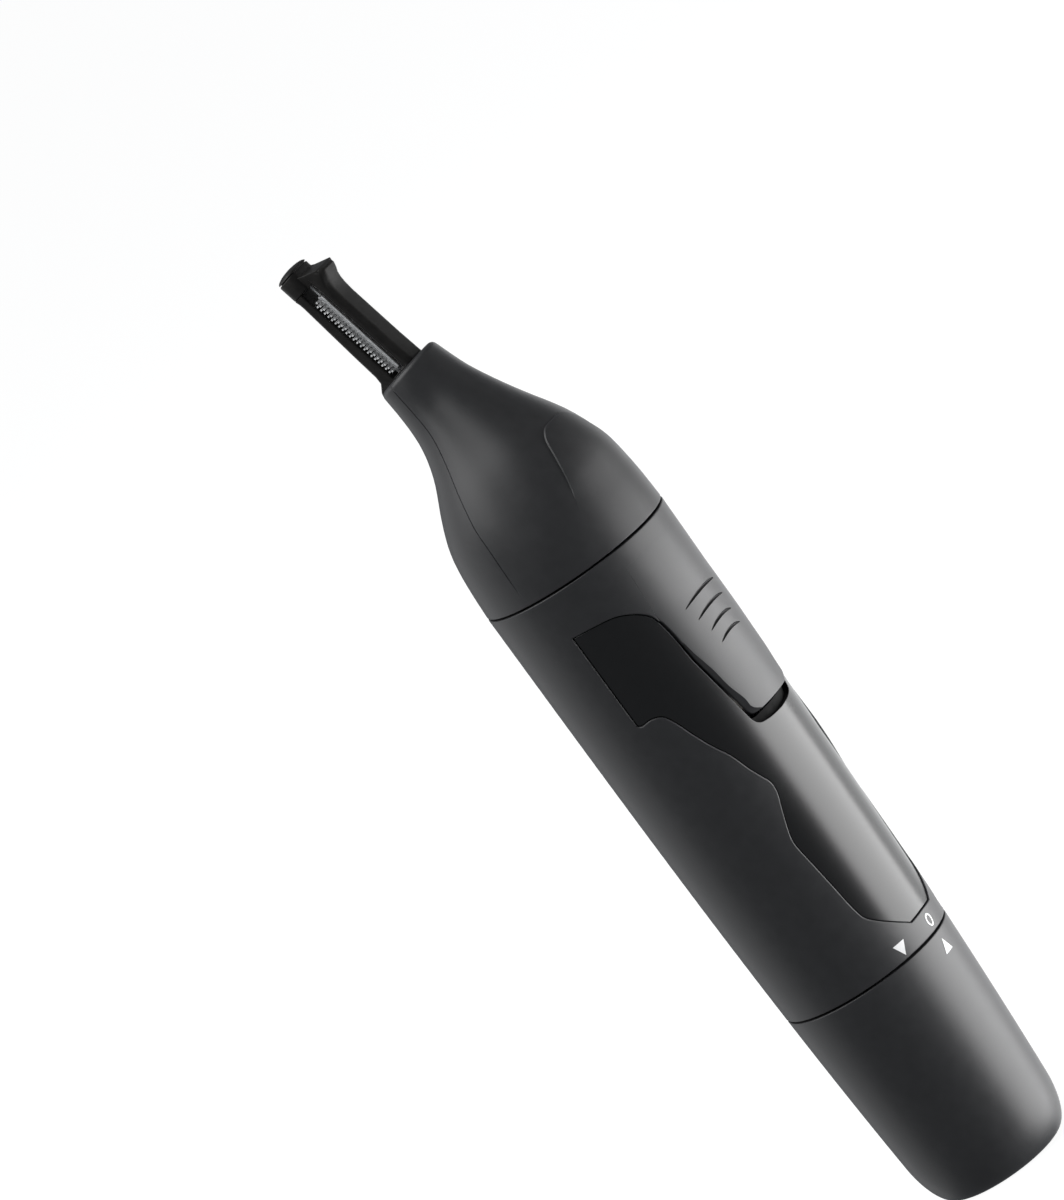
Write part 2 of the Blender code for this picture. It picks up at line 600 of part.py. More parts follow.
def build_lock_ring():
    """The ring that turns with the cap inside the body. Its notches take the cap's lugs."""
    ring = turned("lock_ring", [(RING_RADIUS, RING_HIGH), (RING_RADIUS, RING_LOW), (RING_BORE, RING_LOW),
                                (RING_BORE, RING_HIGH)], FRAME_GREY, 36)
    for i in range(LUGS):
        low = (-NOTCH_HALF, RING_BORE - 0.6, RING_LOW - 0.9)
        high = (NOTCH_HALF, RING_RADIUS + 0.8, RING_HIGH - 0.7)
        cut(ring, box(f"lock_notch_{i}", low, high, frame=share_of_turn(i), cutter=True))
    outer, inner, low, high = RING_RADIUS - 0.1, RING_BORE + 0.15, RING_HIGH + 0.3, RING_HIGH + 0.65
    wiper = turned("switch_wiper", [(outer, high), (outer, low), (inner, low), (inner, high)], NICKEL, 72)
    off_mark = Matrix.Rotation(math.radians(-30), 4, "Z")
    keep = box("wiper_keep", (-1.7, 6, 30), (1.7, 12, 45), frame=off_mark, cutter=True)
    cut(wiper, keep, operation="INTERSECT")


# ---------------------------------------------------------------- head
def build_head_shell():
    """An open skin lofted along the bent axis, thickened inwards."""
    bm = bmesh.new()
    rings = []
    for distance, radius in HEAD_SECTIONS:
        centre, lean = spine(distance)
        ring = []
        for i in range(HEAD_POINTS):
            angle = 360.0 * i / HEAD_POINTS - 180.0
            here = radius - flute(angle, distance)
            turn = math.radians(angle)
            back = -here * math.cos(turn)
            point = centre + Vector((here * math.sin(turn), back * math.cos(lean), -back * math.sin(lean)))
            ring.append(bm.verts.new(point * MM))
        rings.append(ring)
    for lower, upper in zip(rings, rings[1:]):
        for i in range(HEAD_POINTS):
            j = (i + 1) % HEAD_POINTS
            bm.faces.new((lower[i], lower[j], upper[j], upper[i]))
    shell = place("head_shell", finish_mesh(bm, "head_shell"), GREY)
    thick = shell.modifiers.new("wall", "SOLIDIFY")
    thick.thickness = (WALL - 0.2) * MM
    thick.offset = -1.0
    thick.use_even_offset = True
    return shell


def build_head_frame():
    """Ring with two ears for the rocker's pin and a shelf for the bush bracket's screws."""
    high, seat = FRAME_LOW + 2.1, FRAME_LOW + 0.3
    frame = turned("head_frame", [(FRAME_RADIUS, high), (FRAME_RADIUS, FRAME_LOW), (FRAME_BORE, FRAME_LOW),
                                  (FRAME_BORE, high)], FRAME_GREY, 32)
    for side in (-1, 1):
        left, right = span(side, 1.8, 3.6)
        join(frame, box(f"pivot_ear_{side}", (left, -8.7, seat), (right, -5.2, PIVOT[1] + 1.5), cutter=True))
    join(frame, box("frame_shelf", (-5.6, 4.2, seat), (5.6, 8.7, high - 0.2), cutter=True))
    across = across_at(*PIVOT)
    cut(frame, cylinder("ear_bore", AXLE_BORE, -8, 8, steps=20, frame=across, cutter=True))
    for i, spot in enumerate(bracket_screw_spots()):
        cut(frame, cylinder(f"shelf_hole_{i}", 1.05, 95, 110, steps=16, frame=spot, cutter=True))
    cylinder("rocker_pin", AXLE_RADIUS, -3.9, 3.9, STEEL, 20, frame=across)


def bracket_screw_spots():
    x, y = BRACKET_SCREW
    return [Matrix.Translation((side * x * MM, y * MM, 0)) for side in (-1, 1)]


def build_bush_bracket():
    """Guide tube for the rod, a web below it and two legs down to the frame."""
    web, foot, outer = 111.2, 104.3, 4.5
    tube = cylinder("bush_bracket", 2.7, -15.2, -8.2, IVORY, 28, frame=axis_frame())
    join(tube, box("bracket_web", (-outer, -2.4, web), (outer, 5.9, web + 0.9), cutter=True))
    for side in (-1, 1):
        left, right = span(side, 2.1, outer)
        join(tube, box(f"bracket_leg_{side}", (left, 4.3, foot), (right, 6.3, web + 0.4), cutter=True))
    cut(tube, cylinder("bush_bore", ROD_RADIUS + 0.3, -30, 0, steps=24, frame=axis_frame(), cutter=True))
    for i, spot in enumerate(bracket_screw_spots()):
        cut(tube, cylinder(f"leg_hole_{i}", 0.8, 95, 108.5, steps=16, frame=spot, cutter=True))
    for name, spot in zip(("bracket_screw_left", "bracket_screw_right"), bracket_screw_spots()):
        screw(name, FRAME_LOW, 107.6, spot, shank=0.5)


def build_rocker():
    """A bell crank in the side plane: a fork over the eccentric pin, a hub, and a nose in the rod's foot."""
    (py, pz), (qy, qz) = PIVOT, ROD_FOOT
    root = 99.7  # height of the fork's root
    nose = arc(qy, qz, NOSE, range(-60, 61, 30))
    hub = arc(py, pz, 2.1, range(60, 231, 34))
    fork = [(-FORK_HALF, 100.6), (-FORK_HALF, FORK_LOW), (-FORK_GAP, FORK_LOW), (-FORK_GAP, root),
            (FORK_GAP, root), (FORK_GAP, FORK_LOW), (FORK_HALF, FORK_LOW), (FORK_HALF, 100.2), (2.2, 101.4)]
    inner = [(py + 2.4, pz - 2.1), (py + 2.9, pz - 0.7), (qy - 1.6, qz - 0.6)]
    outer = [(qy - 1.6, qz + 0.65)]
    rocker = flat_plate("rocker", nose + outer + hub + fork + inner, -1.2, 1.2, side_frame(), IVORY)
    turn_about(rocker, side_frame_at(PIVOT))
    cut(rocker, cylinder("rocker_bore", AXLE_BORE, -3, 3, steps=20, frame=across_at(*PIVOT), cutter=True))


def arc(y, z, radius, degrees):
    """Points of a circle in the side plane, at these angles from the back."""
    return [(y + radius * math.cos(math.radians(a)), z + radius * math.sin(math.radians(a))) for a in degrees]


def side_frame_at(point):
    return Matrix.Translation(Vector((0, *point)) * MM) @ side_frame()


def build_rod():
    """Drive rod: a notched foot for the rocker's nose, a round stem, and a head under the blade's tang."""
    half = 1.6  # half width of the foot, and the head's radius
    rod = cylinder("drive_rod", ROD_RADIUS, -20.0, -5.0, IVORY, 20, frame=axis_frame())
    foot = box("rod_foot", (-half, -1.7, -21.9), (half, 1.9, -18.9), frame=axis_frame(), cutter=True)
    head = cylinder("rod_head", half, -6.9, -4.95, steps=20, frame=axis_frame(), cutter=True)
    join(rod, foot, head)
    qy, qz = ROD_FOOT
    cut(rod, box("foot_notch", (-3, -9, qz - NOSE - 0.2), (3, qy + NOSE + 0.25, qz + NOSE + 0.2), cutter=True))
    wire("return_spring", coil_points(1.5, 1.5, -18.15, -16.4, 2.5, 10), 0.22, STEEL, frame=axis_frame())


def blade_outline(half, start, end, tang):
    """A strip with teeth on both long edges, and a narrow tang down into the neck."""
    tang_half = 1.15
    side = []
    for i in range(int((end - start) / TOOTH_PITCH)):
        low = start + 0.2 + i * TOOTH_PITCH
        tip, high = half + TOOTH_LENGTH, low + TOOTH_WIDTH
        side += [(half, low), (tip, low + 0.06), (tip, high - 0.06), (half, high)]
    right = [(tang_half, tang), (tang_half, start), (half, start), *side, (half, end)]
    return right + [(-x, s) for x, s in reversed(right)]


def blade_frame():
    """x across the bar, y along the head's axis, z towards the front."""
    return axis_frame() @ Matrix.Rotation(math.radians(90), 4, "X")


def build_blades():
    comb = blade_outline(BLADE_HALF, BLADE_START - 0.2, BLADE_END + 0.2, BLADE_START - 0.3)
    flat_plate("fixed_comb", comb, -COMB_V[1], -COMB_V[0], blade_frame(), STEEL)
    moving = blade_outline(BLADE_HALF - 0.1, BLADE_START, BLADE_END, -4.5)
    flat_plate("moving_blade", moving, -BLADE_V[1], -BLADE_V[0], blade_frame(), STEEL)


def build_guard():
    """Cutting bar: a front and a back rail with the slot between them, standing on a plug in the neck."""
    bm = bmesh.new()
    rings = []
    for along, back in ((0.2, 2.85), (2.0, 2.8), (BAR_END, 2.4)):
        rings.append([Vector((x, v, along)) * MM for x, v in bar_section(back)])
    loft(bm, rings)
    bar = place("blade_guard", finish_mesh(bm, "blade_guard"), GUARD)
    bar.matrix_world = axis_frame()
    plug = cylinder("guard_plug", 3.1, -4.4, 0.4, steps=32, frame=axis_frame(), cutter=True)
    join(bar, plug)
    outline = SLOT_FRONT + [(4.0, SLOT_BACK)]
    outline += [(-x, v) for x, v in reversed(outline)]
    slot = flat_plate("blade_slot", outline, SLOT_START, SLOT_END, axis_frame(), cutter=True)
    tang = box("tang_slot", (-1.5, COMB_V[0] - 0.15, -6), (1.5, SLOT_BACK, 3), frame=axis_frame(), cutter=True)
    cut(bar, slot, tang)


def build_guard_tip():
    """The flared end of the bar: eight-sided, domed, with the slot carried up both sides."""
    bm = bmesh.new()
    rings = []
    stations = [(TIP_START, 2.45, -2.55, 2.35), (TIP_START + 0.9, 2.7, -2.9, 2.7),
                (TIP_START + 2.9, 2.7, -3.0, 2.8), (TIP_END - 0.5, 2.45, -2.7, 2.5), (TIP_END, 1.6, -1.9, 1.8)]
    corner = 0.8
    for along, half, front, back in stations:
        right = [(half - corner, front), (half, front + corner), (half, back - corner), (half - corner, back)]
        ring = right + [(-x, v) for x, v in reversed(right)]
        rings.append([Vector((x, v, along)) * MM for x, v in ring])
    loft(bm, rings)
    tip = place("guard_tip", finish_mesh(bm, "guard_tip"), GUARD)
    tip.matrix_world = axis_frame()
    for side in (-1, 1):
        low, high = span(side, 1.7, 4.0)
        cut(tip, box(f"tip_slot_{side}", (low, -0.6, 15.0), (high, 0.7, 17.6), frame=axis_frame(), cutter=True))


def build_neck_seal():
    turned("neck_seal", [(3.0, -4.75), (3.0, -5.9), (2.5, -6.2), (2.0, -5.9), (2.0, -4.75)], RUBBER, 24,
           frame=axis_frame())


# ---------------------------------------------------------------- run
clear_scene()
PARTS = new_collection("nose_trimmer")
CUTTERS = new_collection("cutters")
GREY = make_material("housing_grey", (0.035, 0.035, 0.037), 0.45)
GLOSS = make_material("inlay_gloss_black", (0.008, 0.008, 0.008), 0.22)
GUARD = make_material("guard_black", (0.03, 0.029, 0.027), 0.4)
FRAME_GREY = make_material("frame_plastic", (0.12, 0.12, 0.125), 0.5)
IVORY = make_material("drive_plastic", (0.75, 0.73, 0.66), 0.4)
RUBBER = make_material("seal_rubber", (0.02, 0.02, 0.02), 0.8)
STEEL = make_material("blade_steel", (0.6, 0.6, 0.6), 0.25, 1.0)
CAN_STEEL = make_material("motor_steel", (0.5, 0.5, 0.5), 0.35, 1.0)
BRONZE = make_material("bush_bronze", (0.55, 0.38, 0.18), 0.4, 1.0)
BRASS = make_material("contact_brass", (0.72, 0.52, 0.22), 0.35, 1.0)
NICKEL = make_material("contact_nickel", (0.66, 0.64, 0.6), 0.3, 1.0)
COPPER = make_material("winding_copper", (0.6, 0.28, 0.14), 0.45, 1.0)
MAGNET = make_material("magnet_ferrite", (0.05, 0.05, 0.055), 0.6)
JACKET = make_material("cell_jacket", (0.05, 0.16, 0.32), 0.3)
RED = make_material("lead_red", (0.5, 0.03, 0.02), 0.5)

build_body_shell()
build_front_inlay()
build_tongue()
build_chassis()
build_collar()
build_motor()
build_rotor()
build_seals()
build_contacts()
build_cell()
build_cap()
build_lock_ring()
build_head_shell()
build_head_frame()
build_bush_bracket()
build_rocker()
build_rod()
build_blades()
build_guard()
build_guard_tip()
build_neck_seal()
for part in PARTS.objects:
    if part.type == "MESH":
        shade_round(part)
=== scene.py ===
"""Looks of the nose hair trimmer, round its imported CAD.

Lengths are in millimetres, and MM turns them into Blender's metres. The trimmer stands on z = 0 with its
front to -Y. Skins are drawn in an unwrapped plane: across it runs the angle from the front, measured along
a circle of radius FLAT_RADIUS, and up it runs the height or, on the head, the distance above the body's
seam along the bent axis.
"""

import math

import bmesh
import bpy
import numpy as np
from mathutils import Matrix, Vector
from mathutils.geometry import delaunay_2d_cdt


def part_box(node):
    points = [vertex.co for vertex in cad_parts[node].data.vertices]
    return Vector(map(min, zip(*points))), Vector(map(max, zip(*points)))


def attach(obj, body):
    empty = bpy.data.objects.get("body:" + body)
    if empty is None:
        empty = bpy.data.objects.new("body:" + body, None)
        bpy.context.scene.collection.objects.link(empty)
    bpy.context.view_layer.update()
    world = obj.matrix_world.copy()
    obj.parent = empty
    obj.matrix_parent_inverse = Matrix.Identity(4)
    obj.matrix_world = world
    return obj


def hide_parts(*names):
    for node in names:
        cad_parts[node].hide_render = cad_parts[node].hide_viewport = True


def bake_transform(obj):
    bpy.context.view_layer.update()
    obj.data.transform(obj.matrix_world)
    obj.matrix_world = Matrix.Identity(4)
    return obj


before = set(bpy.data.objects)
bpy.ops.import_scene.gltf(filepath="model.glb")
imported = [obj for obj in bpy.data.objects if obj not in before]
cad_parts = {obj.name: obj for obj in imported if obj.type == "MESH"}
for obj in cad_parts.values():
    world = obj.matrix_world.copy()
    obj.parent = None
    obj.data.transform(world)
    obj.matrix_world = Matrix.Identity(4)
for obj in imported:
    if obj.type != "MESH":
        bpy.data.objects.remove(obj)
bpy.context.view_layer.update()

MM = 0.001
FLAT_RADIUS = 12.9
HALF_TURN = math.pi * FLAT_RADIUS
PER_DEGREE = math.radians(FLAT_RADIUS)


def heights(node):
    """The lowest and highest point of a CAD node, to a hundredth of a millimetre."""
    low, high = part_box(node)
    return round(low[2] / MM, 2), round(high[2] / MM, 2)


# Handle, from the CAD's cap and body. Both seams are drawn finer than the CAD's
CAP_HIGH = heights("cap_shell")[1]
BODY_LOW = heights("body_shell")[0] - 0.03
BODY_HIGH = heights("body_shell")[1] + 0.2
BODY_TOP = heights("body_shell")[1] + 0.3
TOP_RADIUS, TAPER, TAPER_CURVE, TAPER_OVER = 13.25, 0.70, 1.70, 88.0
WALL = 1.3
CAP_WALL, CAP_FLOOR = 1.5, 1.8
EDGE, NO_EDGE = 0.16, 0.01  # rounding of a moulded edge, and of one that shouldn't show
ROW_GAP, CLEARANCE = 0.87, 0.42  # of a mesh's fill points, as shares of their spacing
BASE_CURL, BASE_IN = 6.5, 2.3  # height and depth of the curve that runs into the flat end

# Head: distance above the body's seam, radius
HEAD_LOW = 0.15
HEAD_HIGH = 31.85
HEAD_SECTIONS = [
    (0.0, 13.23), (3.3, 13.08), (5.8, 12.89), (8.3, 12.55), (10.8, 11.96), (13.4, 11.02), (15.9, 9.84),
    (18.4, 8.46), (20.9, 7.26), (23.4, 6.3), (26.4, 5.48), (29.4, 4.97), (31.9, 4.63),
]
HEAD_WALL = 1.28
TILT = math.radians(15.5)
BEND_START, BEND_RADIUS = 9.0, 56.6
NECK_RIM = (0.0, 3.96, 126.0)  # on the straight end of the axis, just under the rim
RIM_EDGE = 0.7
FLUTE_ANGLE, FLUTE_WIDTH, FLUTE_DEPTH = 64.0, 20.0, 0.5
FLUTE_STARTS, FLUTE_ENDS = (3.0, 13.0), (26.0, 31.0)  # distances over which it deepens and runs out

# Front panel: runs of smooth curve that meet in corners, as (degrees from the front, height), left half
PANEL_RUNS = [
    [(0.0, 34.4), (-14.0, 34.3)],
    [(-14.0, 34.3), (-23.9, 35.9), (-33.0, 37.6), (-38.1, 38.9), (-40.2, 40.6), (-42.4, 44.4), (-44.6, 48.3),
     (-46.4, 51.8), (-45.6, 53.0), (-41.0, 56.1), (-37.3, 58.4), (-37.0, 59.8), (-39.9, 61.4), (-42.4, 62.7),
     (-46.8, 65.6), (-52.3, 68.0), (-57.0, 70.5), (-61.7, 73.2), (-65.3, 74.5), (-71.5, 75.0), (-78.3, 74.9),
     (-80.5, 75.2)],
    [(-80.5, 75.2), (-81.0, 88.9)],
    [(-81.0, 88.9), (-66.0, 88.7), (-53.8, 88.2), (-43.7, 86.9), (-38.4, 85.7), (-35.9, 84.4)],
]
TONGUE_TOP_RUN = [(-35.9, 84.4), (-35.2, 88.0), (-34.0, 92.4)]
TONGUE_TOP = 92.4
SLIT_RUN = [(-35.9, 84.4), (-34.1, 82.0), (-32.7, 78.2), (-30.0, 74.8), (-27.2, 71.4), (-25.0, 68.7)]
POCKET_RUN = [(-25.0, 68.7), (-23.6, 67.3), (-21.0, 66.6), (-14.0, 66.2), (0.0, 66.0)]
SHELF_OUTER = [(0.0, 65.6), (-14.0, 65.8), (-21.6, 66.2), (-24.6, 67.1), (-26.3, 68.7)]
SHELF_INNER = [(-25.6, 69.0), (-23.6, 67.7), (-21.0, 67.3), (-14.0, 67.25), (0.0, 67.25)]
TONGUE_END_RUN = [(-25.0, 68.7), (-23.4, 68.0), (-21.0, 67.65), (-14.0, 67.6), (0.0, 67.6)]
SLIT_TOP = 84.4  # the tongue is cut free below this height, and grows out of the body above it
TONGUE_HELD, TONGUE_FREE = (0, -0.013, 0.0925), (0, -0.013, 0.0842)  # metres
SLIT = 0.15
PANEL_DEPTH, PANEL_THICK = 0.22, 0.75
PANEL_GAP = 0.08
POCKET_DEPTH = 1.0

# Tongue: its top face's edge and its outline, as heights and degrees from the front
FACE_HEIGHTS = [67.6, 67.9, 68.4, 69.6, 72.1, 75.6, 78.8, 82.0, 83.0]
FACE_ANGLES = [15.0, 16.3, 19.5, 21.5, 24.5, 27.3, 30.7, 34.1, 36.5]
SIDE_HEIGHTS = [67.6, 68.0, 68.7, 71.4, 74.8, 78.2, 82.0, 83.0]
SIDE_ANGLES = [21.0, 23.4, 25.0, 27.2, 30.0, 32.7, 34.1, 36.5]
TONGUE_RAISE, RAISE_FROM, RAISE_OVER = 0.36, 85.0, 15.0
CHAMFER_DROP, CHAMFER_SLOPE, CHAMFER_ENDS = 0.28, 1.1, (80.6, 67.95)
GRIPS = [(83.5, 19.2), (81.4, 16.4), (79.3, 13.4), (77.3, 12.2)]  # height, half length in degrees
GRIP_HALF, GRIP_DEPTH, GRIP_ARCH = 0.22, 0.5, 0.5

MARK_TURN = 30  # degrees from the zero to the marks on both sides of it
MARK_RAISE, MARK_THICK = 0.025, 0.022


# ---------------------------------------------------------------- curves
def smooth_run(points, step=0.35):
    """Even points along a curve through all of these, both ends included."""
    p = np.array(points, float)
    if len(p) > 2:
        ends = np.vstack([2 * p[0] - p[1], p, 2 * p[-1] - p[-2]])
        knots = np.concatenate([[0.0], np.cumsum(np.sqrt(np.linalg.norm(np.diff(ends, axis=0), axis=1)))])
        fine = [p[:1]]
        for i in range(1, len(ends) - 2):
            a, b, c, d = ends[i - 1 : i + 3]
            t0, t1, t2, t3 = knots[i - 1 : i + 3]
            t = np.linspace(t1, t2, 17)[1:, None]
            ab = (t1 - t) / (t1 - t0) * a + (t - t0) / (t1 - t0) * b
            bc = (t2 - t) / (t2 - t1) * b + (t - t1) / (t2 - t1) * c
            cd = (t3 - t) / (t3 - t2) * c + (t - t2) / (t3 - t2) * d
            abc = (t2 - t) / (t2 - t0) * ab + (t - t0) / (t2 - t0) * bc
            bcd = (t3 - t) / (t3 - t1) * bc + (t - t1) / (t3 - t1) * cd
            fine.append((t2 - t) / (t2 - t1) * abc + (t - t1) / (t2 - t1) * bcd)
        p = np.vstack(fine)
    along = np.concatenate([[0.0], np.cumsum(np.linalg.norm(np.diff(p, axis=0), axis=1))])
    even = np.linspace(0, along[-1], max(int(math.ceil(along[-1] / step)), 1) + 1)
    return np.stack([np.interp(even, along, p[:, k]) for k in (0, 1)], 1)


def on_skin(points):
    return [(angle * PER_DEGREE, height) for angle, height in points]


def chained(runs, step=0.35):
    """The runs one after another, without the points they share."""
    parts = [smooth_run(run, step) for run in runs]
    return np.vstack([parts[0]] + [part[1:] for part in parts[1:]])


def closed_mirror(runs, step=0.35):
    """A closed loop from a left half that starts and ends on the middle line."""
    half = chained([on_skin(run) for run in runs], step)
    other = half[-2:0:-1] * np.array([-1.0, 1.0])
    return np.vstack([half, other])


def straight_sides(corners, step=0.2):
    """A closed loop of straight sides, with points close enough to bend round the handle."""
    sides = zip(corners, corners[1:] + corners[:1])
    return np.vstack([smooth_run(side, step)[:-1] for side in sides])


def counter_clockwise(loop, wanted=True):
    x, y = loop[:, 0], loop[:, 1]
    area = (x * np.roll(y, -1) - np.roll(x, -1) * y).sum()
    return loop if (area > 0) == wanted else loop[::-1]


def outward(loop):
    """The way out of the material at each point of a loop, longer at a corner to keep an offset even."""
    before = loop - np.roll(loop, 1, 0)
    after = np.roll(loop, -1, 0) - loop
    before = before / np.linalg.norm(before, axis=1)[:, None]
    after = after / np.linalg.norm(after, axis=1)[:, None]
    right_before = np.stack([before[:, 1], -before[:, 0]], 1)
    half = right_before + np.stack([after[:, 1], -after[:, 0]], 1)
    half = half / np.linalg.norm(half, axis=1)[:, None]
    return half / np.maximum((half * right_before).sum(1), 0.5)[:, None]


def grown(loop, distance):
    """The loop moved outwards. The distance may differ from point to point."""
    loop = counter_clockwise(loop)
    return loop + outward(loop) * np.broadcast_to(distance, len(loop))[:, None]


def natural_spline(knots):
    """A smooth function through the knots, for arrays."""
    x, y = np.array(knots, float).T
    gap = np.diff(x)
    slope = np.diff(y) / gap
    count = len(x)
    left = np.eye(count)
    right = np.zeros(count)
    for i in range(1, count - 1):
        left[i, i - 1 : i + 2] = gap[i - 1], 2 * (gap[i - 1] + gap[i]), gap[i]
        right[i] = 6 * (slope[i] - slope[i - 1])
    bend = np.linalg.solve(left, right)

    def evaluate(at):
        i = np.clip(np.searchsorted(x, at) - 1, 0, count - 2)
        t = at - x[i]
        first = slope[i] - gap[i] * (2 * bend[i] + bend[i + 1]) / 6
        return y[i] + t * (first + t * (bend[i] / 2 + t * (bend[i + 1] - bend[i]) / (6 * gap[i])))

    return evaluate


def ramp(at, low, high):
    """0 below low, 1 above high, smooth between."""
    t = np.clip((at - low) / (high - low), 0, 1)
    return t * t * (3 - 2 * t)


# ---------------------------------------------------------------- meshes
def add_object(name, points, faces, normals=None, material=None):
    """Makes an object from points in millimetres. normals holds one direction for each face corner."""
    mesh = bpy.data.meshes.new(name)
    mesh.from_pydata((np.asarray(points) * MM).tolist(), [], faces)
    mesh.shade_smooth()
    if normals is not None:
        mesh.normals_split_custom_set(normals.tolist())
    made = bpy.data.objects.new(name, mesh)
    bpy.context.scene.collection.objects.link(made)
    if material:
        mesh.materials.append(material)
    return made


def inside_loops(points, loops):
    """Whether each point is inside an odd number of the loops."""
    inside = np.zeros(len(points), bool)
    for loop in loops:
        nxt = np.roll(loop, -1, 0)
        for (x0, y0), (x1, y1) in zip(loop, nxt):
            if y0 != y1:
                crosses = (points[:, 1] > y0) != (points[:, 1] > y1)
                inside ^= crosses & (points[:, 0] < x0 + (points[:, 1] - y0) * (x1 - x0) / (y1 - y0))
    return inside


def edge_insets(loops, edge, wraps):
    """For all points of the loops, the way out and the rounding radius, and the loops where it starts."""
    outs, radii = [], []
    for loop in loops:
        out = outward(loop)
        if wraps and loop is loops[0]:
            low, high = loop[:, 1].min(), loop[:, 1].max()
            up = np.where(loop[:, 1] > high - 1e-6, 1.0, np.where(loop[:, 1] < low + 1e-6, -1.0, 0.0))
            out = np.stack([np.zeros(len(loop)), up], 1)
        outs.append(out)
        radii.append(np.broadcast_to(edge(loop) if callable(edge) else edge, len(loop)))
    insets = [loop - out * r[:, None] for loop, out, r in zip(loops, outs, radii)]
    return np.vstack(outs), np.concatenate(radii), insets


def fixed_points(insets, creases):
    """The points that a mesh has to pass through, and the edges between them."""
    edges = []
    count = 0
    for loop in insets:
        edges += [(count + i, count + (i + 1) % len(loop)) for i in range(len(loop))]
        count += len(loop)
    for line in creases:
        edges += [(count + i, count + i + 1) for i in range(len(line) - 1)]
        count += len(line)
    return np.vstack([*insets, *creases]), edges


def filling(insets, fixed, spacing):
    """Staggered rows of points inside the loops, clear of the fixed ones."""
    low, high = insets[0].min(0), insets[0].max(0)
    across = max(int((high[0] - low[0]) / spacing), 2)
    rows = max(int((high[1] - low[1]) / (spacing * ROW_GAP)), 2)
    grid = []
    for k, y in enumerate(np.linspace(low[1], high[1], rows)[1:-1]):
        x = low[0] + (np.arange(across) + (0.25, 0.75)[k % 2]) * (high[0] - low[0]) / across
        grid.append(np.stack([x, np.full(len(x), y)], 1))
    grid = np.vstack(grid)
    near = np.full(len(grid), np.inf)
    for chunk in np.array_split(fixed, max(len(fixed) // 400, 1)):
        near = np.minimum(near, np.linalg.norm(grid[:, None] - chunk[None], axis=2).min(1))
    return grid[(near > CLEARANCE * spacing) & inside_loops(grid, insets)]


def triangulated(insets, creases, spacing):
    """Points of the plane, the triangles between them, and the fixed points that each point stands for."""
    fixed, edges = fixed_points(insets, creases)
    flat = np.vstack([fixed, filling(insets, fixed, spacing)])
    made = delaunay_2d_cdt([Vector(p) for p in flat.tolist()], edges, [], 0, 1e-6, True)
    plane = np.array([tuple(p) for p in made[0]])
    tris = np.array([tuple(f) for f in made[2]])
    tris = tris[inside_loops(plane[tris].mean(1), insets)]
    a, b, c = (plane[tris[:, k]] for k in range(3))
    turn = (b[:, 0] - a[:, 0]) * (c[:, 1] - a[:, 1]) - (b[:, 1] - a[:, 1]) * (c[:, 0] - a[:, 0])
    tris[turn < 0] = tris[turn < 0][:, ::-1]
    return plane, tris, made[3]


def welded(plane, tris):
    """The triangles, with the points of the plane's right side in place of those of its left side."""
    left = [i for i in range(len(plane)) if plane[i, 0] < -HALF_TURN + 1e-4]
    right = {round(plane[i, 1], 4): i for i in range(len(plane)) if plane[i, 0] > HALF_TURN - 1e-4}
    weld = np.arange(len(plane))
    for i in left:
        weld[i] = right[round(plane[i, 1], 4)]
    return weld[tris]


def border_edges(tris, size):
    """The edges that only one triangle has, in its direction."""
    directed = np.vstack([tris[:, [0, 1]], tris[:, [1, 2]], tris[:, [2, 0]]])
    code = directed[:, 0] * size + directed[:, 1]
    back = directed[:, 1] * size + directed[:, 0]
    return directed[~np.isin(code, back)]


def side_walls(border, levels, level_normals, away):
    """Quads from level to level round the border, and a normal for each corner."""
    quads, normals = [], []
    first, second = border.T
    for upper, lower, n_up, n_low in zip(levels, levels[1:], level_normals, level_normals[1:]):
        if n_low is level_normals[-1]:
            n_up = away
        quads.append(np.stack([upper[second], upper[first], lower[first], lower[second]], 1))
        normals.append(np.stack([n_up[second], n_up[first], n_low[first], n_low[second]], 1))
    return np.vstack(quads).tolist(), np.vstack(normals).reshape(-1, 3)


